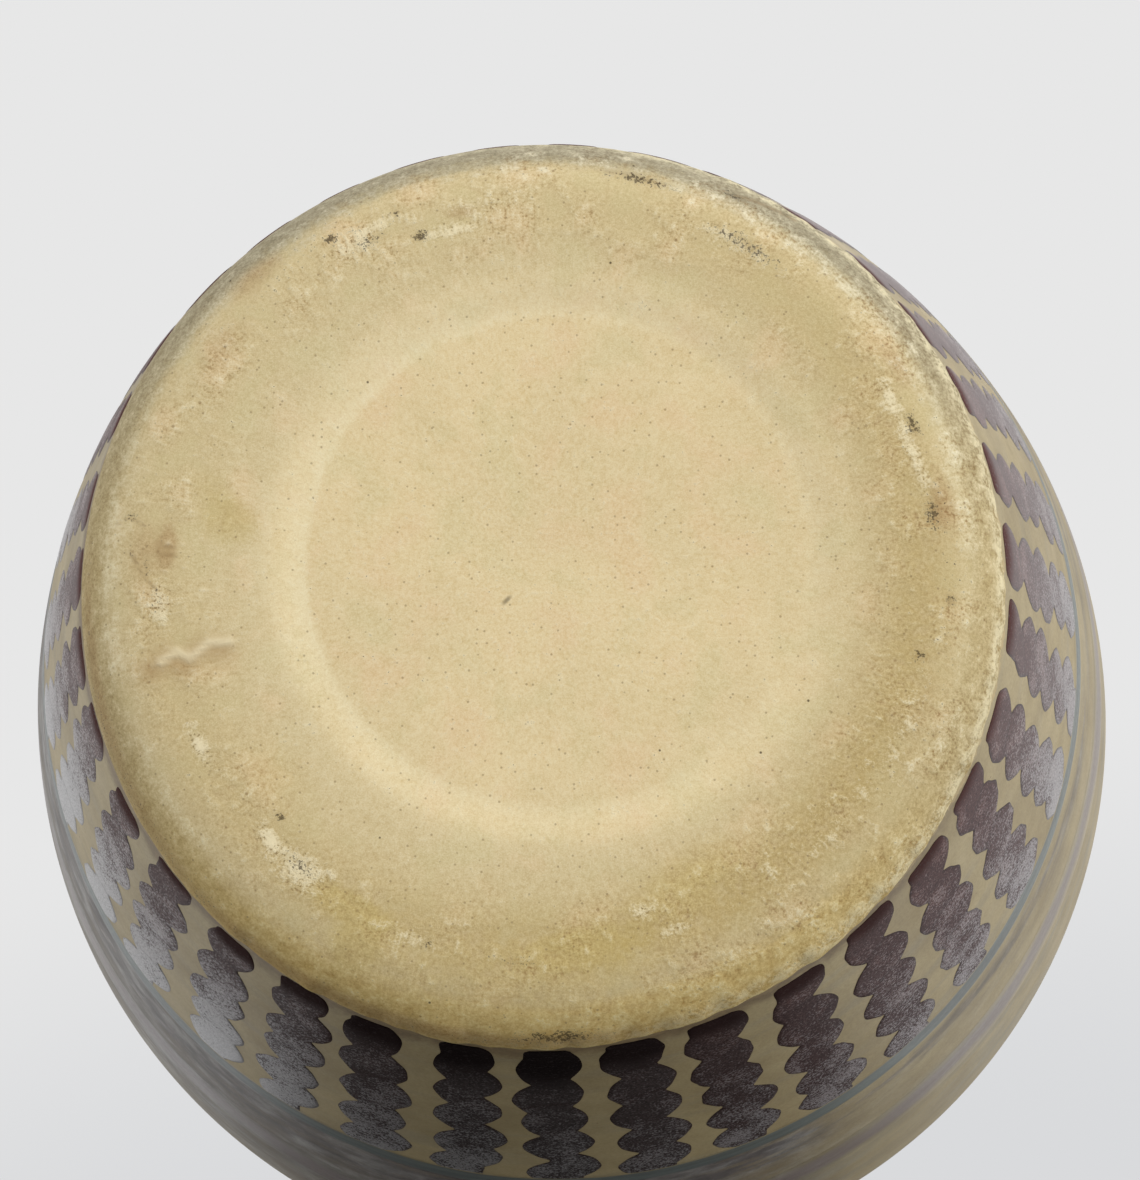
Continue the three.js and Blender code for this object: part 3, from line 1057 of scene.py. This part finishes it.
@dataclass
class ClayBody:
    """The thrown body: foot, wall, lip and hollow in one closed form, with the foot's own relief.

    A run is where a step starts and how long it is. Trails are in mm.
    """

    form: VaseForm
    coating: Coating
    segments: int = 480
    wall_fineness: int = 16
    lip_fineness: int = 3
    rim_fade: float = 4.2 * MM
    rim_highlight_side: float = math.radians(-168)
    dish_run: Pair = (2 * MM, 6 * MM)
    tread_out: float = 1 * MM
    tread_spread: float = 5.5 * MM
    tread_side: float = math.radians(48)
    chafed_radius: float = 52.5 * MM
    chafed_spread: float = 3.5 * MM
    edge_run: Pair = (49.5 * MM, 6.5 * MM)
    strip_radius: float = 53 * MM
    strip_spread: float = 1.2 * MM
    # Where the pale ridge lies: just outside the edge, towards the right, as a painted highlight. The same
    # side also places the chafed wear.
    ridge_out: float = 0.2 * MM
    ridge_spread: float = 0.9 * MM
    ridge_side: float = math.radians(-12)
    border_spread: float = 1.2 * MM
    border_rise: float = 0.45 * MM
    border_side: float = math.radians(35)
    border_waves: tuple[int, ...] = (9, 22, 37, 61, 96)
    stroke: Trail = ((-46, 12.2), (-44, 10.8), (-42.3, 11.6), (-40, 9.6), (-37.5, 9.5))
    stroke_width: float = 0.6 * MM
    # The painted shadow beside the raised trail: its spread, and how far it is moved from the trail.
    stroke_shadow_width: float = 1.7 * MM
    stroke_shadow_shift: Pair = (-0.9 * MM, 0.9 * MM)
    scratches: tuple[Trail, ...] = (
        ((-52.6, -5.4), (-50.6, -6.2), (-48.9, -5.1)),
        ((-50.3, -1.8), (-48.9, 0.9), (-46.6, 3.4)),
        ((-47.2, -2.9), (-44.9, -2.3)),
        ((-47.0, -1.6), (-44.4, -1.0)),
        ((8.2, -51.8), (12.2, -51.2), (16.2, -49.4)),
        ((25.0, -49.0), (29.4, -47.6), (32.6, -46.0)),
    )
    scratch_width: float = 0.5 * MM
    dot: Pair = (-3.7 * MM, 4.0 * MM)
    dot_size: float = 0.35 * MM

    def relief(self, points: Array) -> Array:
        """The underside with its relief: a disc pressed up, and a rough border pushed out.

        The disc rises by its depth over a smooth step. The border moves out by a bell curve in the radius
        times a sum of sines in the angle.

        Args:
            points: Points of the turned underside.

        Returns:
            The points in their new places.
        """
        form = self.form
        moved = points.copy()
        moved[:, 2] += form.recess_depth * ease(1.0 - form.recess(points) / form.recess_flank)
        radius, angle = round_axis(points)
        radius = np.maximum(radius, MM)
        waves = np.mean([np.sin(count * angle + count**2) for count in self.border_waves], axis=0)
        side = ease(0.75 + np.cos(angle - self.border_side))
        here = bell(radius, form.edge_radius, self.border_spread)
        out = self.border_rise * here * side * (0.5 + waves)
        moved[:, :2] *= (1.0 + np.maximum(out, 0.0) / radius)[:, None]
        return moved

    def trail_mask(self, points: Array, trail: Trail, width: float, shift: Pair = (0.0, 0.0)) -> Array:
        """A trail on the foot: a bell curve in the distance to the nearest of its straight runs.

        Args:
            points: Points of the body.
            trail: Ends of the runs in x and y, in mm.
            width: Spread of the bell curve.
            shift: How far the trail is moved in x and y.

        Returns:
            The mask of the trail.
        """
        spots = points[:, :2] - np.array(shift)
        ends = np.array(trail) * MM
        nearest = np.full(len(spots), np.inf)
        for start, end in zip(ends[:-1], ends[1:]):
            run = end - start
            share = np.clip((spots - start) @ run / (run @ run), 0.0, 1.0)
            nearest = np.minimum(nearest, np.linalg.norm(spots - start - share[:, None] * run, axis=1))
        return bell(nearest, 0.0, width)

    def values(self, points: Array) -> dict[str, Array]:
        """What the clay's finish reads at each point.

        Args:
            points: All points of the body.

        Returns:
            A mask for each feature of the foot.
        """
        form = self.form
        radius, angle = round_axis(points)
        past = form.recess(points)
        low = points[:, 2] < form.edge_height + MM
        # The rim is paler towards one side: a painted highlight on the flank of the disc that faces the
        # light.
        rim_highlight_side = 0.3 + 0.7 * (0.5 + 0.5 * np.cos(angle - self.rim_highlight_side)) ** 1.5
        tread_side = 0.12 + 0.88 * (0.5 + 0.5 * np.cos(angle - self.tread_side))
        ridge_side = ease(0.35 + 0.9 * np.cos(angle - self.ridge_side))
        strip_side = bell(np.abs(angle), np.pi, 0.9) + bell(angle, -0.45, 0.6)
        ring = bell(radius, form.ring_radius + self.tread_out, self.tread_spread)
        chafed = bell(radius, self.chafed_radius, self.chafed_spread) * ridge_side
        from_dot = np.hypot(points[:, 0] - self.dot[0], points[:, 1] - self.dot[1])
        masks = {
            "rim": ease(past / MM + 0.6) * np.exp(-np.maximum(past, 0.0) / self.rim_fade) * rim_highlight_side,
            "dish": ease((past - self.dish_run[0]) / self.dish_run[1]),
            "tread": ring * tread_side,
            "worn": np.minimum(ring + chafed, 1.0),
            "edge": ease((radius - self.edge_run[0]) / self.edge_run[1]),
            "strip": bell(radius, self.strip_radius, self.strip_spread) * strip_side,
            # A painted highlight along the edge on the right side.
            "lit_ridge": bell(radius, form.edge_radius + self.ridge_out, self.ridge_spread) * ridge_side,
            "stroke": self.trail_mask(points, self.stroke, self.stroke_width),
            # The raised trail's painted shadow.
            "stroke_shadow": self.trail_mask(points, self.stroke, self.stroke_shadow_width, self.stroke_shadow_shift),
            "scratch": sum(self.trail_mask(points, trail, self.scratch_width) for trail in self.scratches),
            "dot": ease(1.5 - from_dot / self.dot_size),
        }
        for kind, rows in FOOT_MARKS.items():
            masks[kind.value] = sum(Mark(*row).mask(points) for row in rows)
        return {name: mask * low for name, mask in masks.items()}

    def build(self) -> Piece:
        """Turns the section and presses the foot's relief into it.

        Returns:
            The clay.
        """
        foot = self.form.foot(self.coating.glaze - self.coating.clearance)
        foot[-1, 1] -= self.coating.clearance
        foot = Outline(foot).braced().rows
        wall = self.form.wall(self.wall_fineness)
        section = np.vstack([foot, wall, self.form.lip(wall, self.lip_fineness), self.form.hollow(wall)])
        body = lathe(section, self.segments)
        under = np.r_[: (len(foot) - 1) * self.segments, len(body.points) - 2]
        body.points[under] = self.relief(body.points[under])
        body.values = self.values(body.points)
        return body.to_object("clay_body")

    def dress(self, piece: Piece) -> None:
        """Gives the clay its finish and its place in the frame."""
        settle(piece, "body", ClayFinish().material())


@dataclass
class GlazeCoats:
    """The two coats of glaze, which meet on top of the lip."""

    form: VaseForm
    coating: Coating
    segments: int = 360
    outer_fineness: int = 56
    lining_fineness: int = 32
    lip_fineness: int = 5
    join: float = 0.015 * MM
    lip_band: float = 10 * MM

    def outside(self) -> Outline:
        """The clay's outside: the wall and half of the lip.

        Returns:
            The line from the edge to the top of the lip.
        """
        wall = self.form.wall(self.outer_fineness)
        lip = self.form.lip(wall, self.lip_fineness)[: self.lip_fineness]
        return Outline(np.vstack([wall, lip]))

    def inside(self) -> Outline:
        """The clay's inside: the other half of the lip and the hollow.

        Returns:
            The line from the top of the lip to the axis.
        """
        wall = self.form.wall(self.lining_fineness)
        lip = self.form.lip(wall, self.lip_fineness)[self.lip_fineness - 1 :]
        return Outline(np.vstack([lip, self.form.hollow(wall)]))

    def sides(self, line: Outline) -> tuple[Array, Array]:
        """Rows of a coat's face and of its back, both in the order of the line."""
        face, back = (line.moved(lift).braced().rows for lift in (self.coating.glaze, self.coating.seam))
        return face, back

    def build_outer(self) -> Piece:
        """The outer coat: its face and its back as one closed section, turned round the axis.

        Returns:
            The coat; along is the distance up the wall and lip is 1 at the rim.
        """
        line = self.outside()
        face, back = self.sides(line)
        coat = hoop(np.vstack([face, back[::-1]]), self.segments)
        way = line.braced().distances()
        along = np.concatenate([way, way[::-1]])
        lip = ease(1.0 - (along.max() - along) / self.lip_band)
        coat.values = {"along": np.repeat(along, self.segments), "lip": np.repeat(lip, self.segments)}
        return coat.to_object("satin_coat")

    def build_lining(self) -> Piece:
        """The lining: its back up from the floor, over the lip's join, and its face down to the floor.

        Returns:
            The lining; lip is 1 at the rim.
        """
        line = self.inside()
        face, back = self.sides(line)
        face[0, 0] -= self.join
        back[0, 0] -= self.join
        face[-1, 0] = back[-1, 0] = 0.0
        lining = lathe(np.vstack([back[::-1], face]), self.segments)
        lip = ease(1.0 - line.braced().distances() / self.lip_band)
        rings = np.concatenate([lip[::-1], lip])[1:-1]
        lining.values = {"lip": np.append(np.repeat(rings, self.segments), [0.0, 0.0])}
        return lining.to_object("lining_coat")

    def build(self) -> tuple[Piece, Piece]:
        """Builds the outer coat, then the lining."""
        return self.build_outer(), self.build_lining()

    def dress(self, outer: Piece, lining: Piece) -> None:
        """Gives both coats their finish and their place in the frame.

        Args:
            outer: The outer coat.
            lining: The lining.
        """
        glaze = GlazeFinish()
        settle(outer, "outer_glaze", glaze.material("satin_glaze", True))
        settle(lining, "inner_glaze", glaze.material("lining_glaze", False))


@dataclass(frozen=True)
class Dabs:
    """The dabs of one column from its start up: middles, half lengths, slants, and widths by side.

    Each dab is (1 - |x|^bulge)^blunt wide at x, its share of the way from its middle. A dab's two ends
    sit a little higher or lower than its middle, because the hand slants.
    """

    middle: Array
    half: Array
    slant: Array
    wide: Array
    bulge: float = 1.8
    blunt: float = 0.7
    flatness: float = 0.35

    def outermost(self, along: Array, side: int) -> Array:
        """Angle from the column's middle to the edge of its outermost dab on one side.

        Args:
            along: Distances up the wall.
            side: 0 for the left side, 1 for the right.

        Returns:
            The angle at each distance, 0 where no dab is.
        """
        x = np.abs(along[:, None] - self.middle - (side - 0.5) * self.slant) / self.half
        return (self.wide[side] * np.clip(1.0 - x**self.bulge, 0.0, 1.0) ** self.blunt).max(1)

    def uppermost(self, way: Array, offset: Array, full: float) -> tuple[Array, Array]:
        """The uppermost dab over each place, and how far out in it the place lies, as in an ellipse.

        Args:
            way: Distances up the wall.
            offset: Angles from the column's middle, of the same shape.
            full: Angle from the middle to the edge of a full dab.

        Returns:
            The dab's number, -1 outside all of them, and the share of the way from its middle to its edge.
        """
        drop = self.slant * (offset / full)[..., None] / 2
        x = np.abs(way[..., None] - self.middle - drop) / self.half
        y = np.abs(offset)[..., None] / self.wide.mean(0)
        out = np.sqrt(x**2 + self.flatness * y**2)
        number = np.where(out < 1.0, np.arange(len(self.middle)), -1).max(-1)
        return number, np.take_along_axis(out, np.maximum(number, 0)[..., None], -1)[..., 0]


@dataclass
class Brushwork:
    """Slip on the glaze: columns of overlapping dabs, a banded line above them and a smeared streak.

    What varies round the wall follows bell curves, each given by its middle and spread in degrees and its
    height. Turns and the stray of a column are in degrees, with 0 at the right and 90 at the back.
    """

    wall: Outline
    coating: Coating
    columns: int = 35
    phase: float = math.radians(6.34)
    start: float = 1.1 * MM
    late_start: Triple = (20, 30, 1.2 * MM)
    dabs: int = 5
    fill: float = 0.4
    waist: float = 0.16
    ripple: float = 0.003
    reach: float = 0.66
    thickness: float = 0.09 * MM
    # How much longer the black start of a column is at the back: painted shade.
    shade_length: float = 8 * MM
    start_width: float = 0.74
    sway: float = math.radians(0.35)
    stray: float = 0.5
    rim_width: float = 0.6 * MM
    # The painted grey sheen: its level all round, and its bells at the left and the right.
    grey: float = 0.3
    grey_left: Triple = (155, 48, 0.7)
    grey_right: Triple = (10, 45, 0.35)
    shine_left: Triple = (190, 45, 0.4)
    shine_right: Triple = (-25, 50, 0.9)
    # Bells about the back, where the dabs are painted as in shade: a longer black start, slate grey, and
    # black in place of russet.
    back: float = 92
    shade_length_spread: float = 22
    slate_spread: float = 42
    black_shade_spread: float = 62
    line_start: float = 50.2 * MM
    line_width: float = 5 * MM
    line_waver: float = 0.25 * MM
    line_gap: float = 0.05 * MM
    streak_start: float = 74 * MM
    streak_width: float = 11 * MM
    streak_waver: float = 0.8 * MM
    band_thickness: float = 0.03 * MM
    rows: int = 110
    across: int = 23
    band_across: int = 13
    band_segments: int = 540
    seed: int = 4217

    def on_wall(self, along: Array, angle: Array, lift: Array | float) -> Array:
        """Points over the glaze: its face at a distance up the wall, lifted, turned to an angle.

        Args:
            along: Distance up the clay's outside from the glaze's lower edge.
            angle: Angle round the axis, of the same shape.
            lift: Height over the glaze, of the same shape or one value.

        Returns:
            Points, with the coordinate as the last axis.
        """
        radius, height = self.wall.at(along, self.coating.glaze + self.coating.clearance + lift)
        return polar(radius, angle, height)

    def varied(self, turn: float, curve: Triple) -> float:
        """A bell curve's value at a turn; a curve at the left goes on over the seam at 180 degrees."""
        middle, spread, height = curve
        return height * bell(turn % 360 if middle > 90 else turn, middle, spread)

    def strip(self, face: Array, back: Array, values: dict[str, Array], brush: Array) -> Surface:
        """A face and a back of the same grid as one closed surface: a loop in each row, quads on both ends.

        Args:
            face: Points of the face, by row and place across.
            back: Points of the back.
            values: Values of the finish on the face; the back has the same.
            brush: Brush map of the face; the back has the same.

        Returns:
            The closed surface.
        """
        quads = grid_faces(self.rows, 2 * self.across, False)
        j = np.arange(self.across - 1)
        mirror = 2 * self.across - 1 - j
        low = np.stack([j + 1, j, mirror, mirror - 1], -1)
        high = np.stack([j, j + 1, mirror - 1, mirror], -1) + (self.rows - 1) * 2 * self.across
        looped = {key: np.concatenate([value, value[:, ::-1]], 1) for key, value in values.items()}
        points = np.concatenate([face, back[:, ::-1]], 1)
        brush = np.concatenate([brush, brush[:, ::-1]], 1)
        return Surface(points, [quads, low, high], looped, brush)

    def draw_dabs(self, hand: np.random.Generator, start: float, tall: float, full: float) -> Dabs:
        """Draws a column's dabs at equal steps, each a little off in place, length, slant and width.

        Args:
            hand: The column's random numbers.
            start: Distance of its start up the wall.
            tall: Step from dab to dab.
            full: Angle from the column's middle to the edge of a full dab.

        Returns:
            The dabs.
        """
        middle = start + tall * (np.arange(self.dabs) + 0.5 + hand.uniform(-0.1, 0.1, self.dabs))
        half = tall * self.reach * hand.uniform(0.92, 1.08, self.dabs)
        slant = tall * (hand.normal(0.3, 0.12) + hand.normal(0.0, 0.08, self.dabs))
        return Dabs(middle, half, slant, full * hand.uniform(0.86, 1.1, (2, self.dabs)))

    def build_column(self, number: int) -> Piece:
        """One column: its sides are the outermost of a row of rounded dabs, its face swells between them.

        Args:
            number: Place of the column round the wall, from 0.

        Returns:
            The column; painted grey sheen grows up it, rim is its outline, bead its start and lens its inner
            edges.
            Depth, slate and sheen are one value for the column: how black its start is painted as shade, how
            grey it is painted as shade, and how shiny it is.
        """
        hand = np.random.default_rng(self.seed + number)
        pitch = FULL_TURN / self.columns
        middle_angle = self.phase + number * pitch
        turn = math.degrees(math.remainder(middle_angle, FULL_TURN))
        start = self.start + self.varied(turn, self.late_start) + hand.uniform(-0.6, 0.6) * MM
        end = self.line_start - self.line_gap
        tall = (end - start) / self.dabs
        dabs = self.draw_dabs(hand, start, tall, pitch * self.fill)
        along = np.linspace(start, end, self.rows)
        waves = along[:, None] / MM * hand.uniform(0.9, 2.2, (1, 4)) + hand.uniform(0, 6.3, (1, 4))
        ripple = np.sin(waves).sum(1)
        sides = []
        for side, first in enumerate(dabs.wide[:, 0]):
            least = np.where(along < dabs.middle[0], self.start_width * first, self.waist * pitch)
            sides.append(np.maximum(dabs.outermost(along, side), least) + self.ripple * pitch * ripple)
        rounded = np.sqrt(1.0 - (1.0 - np.clip((along - start) / MM, 0.0, 1.0)) ** 2)[:, None]
        u = np.linspace(-1.0, 1.0, self.across)[None, :]
        width = np.where(u < 0, sides[0][:, None], sides[1][:, None]) * (0.75 + 0.25 * rounded)
        offset = u * width
        sway = self.sway * np.sin(along / tall * hand.uniform(0.5, 0.9) + hand.uniform(0, 6.3))
        stray = math.radians(hand.uniform(-self.stray, self.stray))
        angle = middle_angle + stray + sway[:, None] + offset
        way = np.broadcast_to(along[:, None], angle.shape)
        inside, top = dabs.uppermost(way, offset, pitch * self.fill)
        cap = np.sqrt(1.0 - np.abs(u) ** 5) * rounded
        swell = 1.0 + 0.25 * np.clip(1.0 - top, 0.0, 1.0) + 0.4 * bell(way, start, 3 * MM)
        face = self.on_wall(way, angle, self.thickness * cap * swell)
        back = self.on_wall(way, angle, 0.0)
        bead_long = hand.uniform(1.8, 3.6) * MM * (1.0 - 0.3 * (u + hand.uniform(-0.3, 0.3)) ** 2)
        # At the back the black start grows longer, the bead turns black and the dabs turn slate: painted
        # shade.
        shade_length = self.shade_length * bell(turn, self.back, self.shade_length_spread)
        depth = bell(turn, self.back, self.black_shade_spread)
        fade = shade_length + (5.2 - 3.0 * depth) * MM
        radius = np.hypot(face[..., 0], face[..., 1])
        brink = np.minimum((1.0 - np.abs(u)) * width * radius, way - start)
        climb = (way - start) / (end - start)
        # The painted grey sheen is strongest at the left and the right and grows up the column.
        painted_sheen = self.grey + self.varied(turn, self.grey_left) + self.varied(turn, self.grey_right)
        sheen = self.varied(turn, self.shine_left) + self.varied(turn, self.shine_right)
        values = {
            "painted_sheen": np.minimum(painted_sheen * hand.uniform(0.8, 1.2) * (0.12 + 0.95 * climb), 0.95),
            "slate": np.full_like(angle, 0.8 * bell(turn, self.back, self.slate_spread)),
            "sheen": np.full_like(angle, sheen),
            "rim": 1.0 - ease(brink / self.rim_width),
            "bead": ease((start + bead_long + shade_length - way) / fade + 0.5),
            "depth": np.full_like(angle, depth),
            "lens": ease((top - 0.84) / 0.16) * (inside >= 0),
        }
        strip = self.strip(face, back, values, np.stack([offset * radius, way], -1))
        return strip.to_object(f"brushed_column_{number + 1:02d}")

    def build_band(self, name: str, start: float, width: float, waver: float) -> Piece:
        """A band round the wall whose two edges waver by a few waves, its section a low parabola.

        Args:
            name: Name of the piece.
            start: Distance of its lower edge up the wall.
            width: Its width.
            waver: How far its upper edge strays.

        Returns:
            The band; middle is 1 along its middle and 0 at its edges.
        """
        angle = np.linspace(0.0, FULL_TURN, self.band_segments, endpoint=False)[None, :]
        stray = np.sin(3 * angle + 0.7) + 0.6 * np.sin(7 * angle + 2.1) + 0.4 * np.sin(13 * angle)
        w = np.r_[0.0, np.linspace(0.002, 0.998, self.band_across - 2), 1.0][:, None]
        along = start + w * (width + waver * stray)
        turn = np.broadcast_to(angle, along.shape)
        cap = 1.0 - (2.0 * w - 1.0) ** 2
        face = self.on_wall(along, turn, self.band_thickness * cap)
        back = self.on_wall(along, turn, 0.0)
        middle = np.broadcast_to(1.0 - np.abs(2.0 * w - 1.0), along.shape)
        faces = [grid_faces(2 * self.band_across, self.band_segments, True)]
        kept = {"middle": middle, "along": along}
        values = {key: np.concatenate([value, value[::-1]]) for key, value in kept.items()}
        return Surface(np.concatenate([face, back[::-1]]), faces, values).to_object(name)

    def build(self) -> list[Piece]:
        """Lays every column, then the line and the streak.

        Returns:
            The pieces in that order.
        """
        columns = [self.build_column(number) for number in range(self.columns)]
        line = self.build_band("banded_line", self.line_start, self.line_width, self.line_waver)
        streak = self.build_band("smeared_streak", self.streak_start, self.streak_width, self.streak_waver)
        return [*columns, line, streak]

    def dress(self, pieces: list[Piece]) -> None:
        """Gives each piece its finish and its place in the frame.

        Args:
            pieces: The columns, the line and the streak.
        """
        *columns, line, streak = pieces
        slip = SlipFinish().material()
        for number, column in enumerate(columns, 1):
            settle(column, f"dab_column_{number:02d}", slip)
        glaze = GlazeFinish()
        slate = BandFinish("slate_line", tone(104, 112, 109), tone(84, 90, 88), glaze, 0.95, 0.25, 0.42)
        settle(line, "ring_line", slate.material())
        plum = BandFinish("plum_streak", tone(132, 121, 120), tone(112, 101, 101), glaze, 0.75, 0.6, 1.1)
        settle(streak, "ring_streak", plum.material())


@dataclass(frozen=True)
class Lamp:
    """A square soft lamp that is aimed at the vase, and whether reflections show it."""

    name: str
    spot: Triple
    side: float
    power: float
    mirrored: bool

    def hang(self, target: Vector) -> None:
        """Puts the lamp in its place.

        Args:
            target: What it faces.
        """
        data = bpy.data.lights.new(self.name, "AREA")
        data.size = self.side
        data.energy = self.power
        lamp = placed(self.name, data)
        lamp.location = self.spot
        lamp.rotation_euler = (target - lamp.location).to_track_quat("-Z", "Y").to_euler()
        lamp.visible_camera = False
        lamp.visible_glossy = self.mirrored


@dataclass(frozen=True)
class Cone:
    """A part of the room round a way: full inside the core's angle from it, nothing outside the rim's."""

    way: Triple
    core: float
    rim: float

    def mask(self, r: Recipe) -> Wire:
        """How near a ray runs to the way: a smooth step in the cosine of the angle between them.

        Args:
            r: Recipe of the world.

        Returns:
            The mask.
        """
        ray = r.wire("TexCoord", {}, {}, "Generated")
        sockets = {0: ray, 1: Vector(self.way).normalized()}
        near = r.wire("VectorMath", {"operation": "DOT_PRODUCT"}, sockets, "Value")
        return r.step(near, math.cos(self.rim), math.cos(self.core))


@dataclass
class Studio:
    """A pale floor that fades out, soft lamps over and under the vase, a dark card, and the camera."""

    floor_side: float = 1.6
    floor_fade: Pair = (0.18, 0.5)
    floor_shade: Colour = tone(120, 118, 115)
    shade_reach: Pair = (0.105, 0.052)
    floor_drop: float = 0.2 * MM
    floor_tone: Colour = tone(220, 220, 220)
    pale: Colour = tone(231, 231, 231)
    corner: Colour = tone(217, 218, 220)
    room: Colour = tone(152, 152, 151)
    dusk: Colour = tone(40, 40, 40)
    dusk_cone: Cone = Cone((0.05, 0.85, 0.5), math.radians(50), math.radians(94))
    corner_cone: Cone = Cone((0.08, 0.68, 0.72), math.radians(41), math.radians(53))
    card_far: float = 0.9
    card_side: float = 0.9
    card_way: Triple = (0.0, 0.7, 0.71)
    card_tone: Colour = tone(24, 24, 24)
    image: tuple[int, int] = (1140, 1180)
    focal_pixels: float = 2200
    sensor: float = 36.0
    eye: Triple = (14.59 * MM, 58.81 * MM, -262.94 * MM)
    ahead: Triple = (-0.03878, -0.20704, 0.97756)
    right: Triple = (0.99925, -0.00803, 0.03794)
    lamps: tuple[Lamp, ...] = (
        Lamp("top_lamp", (0.0, -0.2, 1.5), 1.2, 11.0, False),
        Lamp("right_lamp", (1.0, 0.32, 0.6), 1.0, 9.0, False),
        Lamp("left_lamp", (-1.1, 0.0, 0.6), 1.0, 9.5, False),
        Lamp("front_lamp", (0.1, -1.3, 0.65), 1.0, 7.0, True),
        Lamp("foot_lamp", (0.35, -0.45, -0.9), 0.8, 10.5, False),
    )

    def stand(
        self, middle: Vector, right: Vector, up: Vector, finish: Material, unseen: tuple[str, ...],
    ) -> None:
        """A flat square of the stage, named like its finish.

        Args:
            middle: The square's middle.
            right: Half a side, to the right.
            up: Half a side, upwards.
            finish: The square's material.
            unseen: The kinds of rays that don't see it.
        """
        mesh = bpy.data.meshes.new(finish.name)
        corners = [middle + x * right + y * up for x, y in ((-1, -1), (1, -1), (1, 1), (-1, 1))]
        mesh.from_pydata([tuple(corner) for corner in corners], [], [(0, 1, 2, 3)])
        mesh.materials.append(finish)
        square = placed(finish.name, mesh)
        for kind in unseen:
            setattr(square, f"visible_{kind}", False)

    def lay_floor(self) -> None:
        """A pale floor that fades out round the vase, darker round the foot as a painted shadow, and clear
        from below, where the camera is.
        """
        material, r = new_finish("floor")
        reach = r.reach(r.place())
        # The floor is painted darker close to the foot: a painted shadow.
        colour = r.mix(r.step(reach, *self.shade_reach), self.floor_tone, self.floor_shade)
        paint = r.wire("BsdfDiffuse", {}, {"Color": colour})
        clear = r.wire("BsdfTransparent", {}, {})
        behind = r.wire("NewGeometry", {}, {}, "Backfacing")
        gone = behind.math("MAXIMUM", behind, r.step(reach, *self.floor_fade))
        r.add("OutputMaterial", {}, {"Surface": r.wire("MixShader", {}, {0: gone, 1: paint, 2: clear})})
        half = self.floor_side / 2
        middle = Vector((0.0, 0.0, -self.floor_drop))
        right, up = Vector((half, 0.0, 0.0)), Vector((0.0, half, 0.0))
        self.stand(middle, right, up, material, ("diffuse", "glossy", "transmission", "shadow"))

    def hang_card(self, target: Vector) -> None:
        """A dark card high behind the vase, which only reflections see.

        Args:
            target: What the card faces.
        """
        material, r = new_finish("dark_card")
        r.surface({"Base Color": self.card_tone, "Roughness": 0.9})
        away = Vector(self.card_way).normalized()
        up = away.cross(Vector((1.0, 0.0, 0.0))).normalized()
        half = self.card_side / 2
        middle = target + away * self.card_far
        unseen = ("camera", "diffuse", "transmission", "shadow")
        self.stand(middle, half * up.cross(away), half * up, material, unseen)

    def light(self, target: Vector) -> None:
        """Hangs the lamps and paints the world: a pale backdrop, and a room that is dim behind and above.

        Args:
            target: What the lamps face.
        """
        for lamp in self.lamps:
            lamp.hang(target)
        world = bpy.data.worlds.new("studio")
        world.use_nodes = True
        bpy.context.scene.world = world
        r = Recipe(world.node_tree)
        shown = r.wire("Background", {}, {"Color": r.mix(self.corner_cone.mask(r), self.pale, self.corner)})
        given = r.wire("Background", {}, {"Color": r.mix(self.dusk_cone.mask(r), self.room, self.dusk)})
        path = r.add("LightPath", {}, {}).outputs
        kinds = ("Is Camera Ray", "Is Glossy Ray", "Is Transmission Ray")
        camera, glossy, clear = (Wire(r, path[kind]) for kind in kinds)
        both = r.wire("MixShader", {}, {0: camera + glossy + clear, 1: given, 2: shown})
        r.add("OutputWorld", {}, {"Surface": both})

    def set_camera(self) -> None:
        """The photograph's viewpoint: under the foot, looking up along the axis and a little to the front."""
        data = bpy.data.cameras.new("camera")
        data.sensor_width = self.sensor
        data.lens = self.focal_pixels * self.sensor / max(self.image)
        camera = placed("camera", data)
        right, back = Vector(self.right).normalized(), -Vector(self.ahead).normalized()
        up = back.cross(right).normalized()
        turn = Matrix((up.cross(back), up, back)).transposed()
        camera.matrix_world = Matrix.Translation(self.eye) @ turn.to_4x4()
        bpy.context.scene.camera = camera

    def build(self, target: Vector) -> None:
        """Sets up the whole studio.

        Args:
            target: The middle of the vase.
        """
        bpy.context.scene.view_settings.view_transform = "Standard"
        self.lay_floor()
        self.hang_card(target)
        self.light(target)
        self.set_camera()


def main() -> None:
    """Builds and dresses the vase from the clay outwards and sets up the studio."""
    logging.basicConfig(level=logging.INFO, format="%(name)s: %(message)s")
    form = VaseForm()
    coating = Coating()
    clay = ClayBody(form, coating)
    clay.dress(clay.build())
    coats = GlazeCoats(form, coating)
    coats.dress(*coats.build())
    brushwork = Brushwork(coats.outside(), coating)
    brushwork.dress(brushwork.build())
    Studio().build((CAD_BOX[0] + CAD_BOX[1]) / 2)


if __name__ == "__main__":
    main()
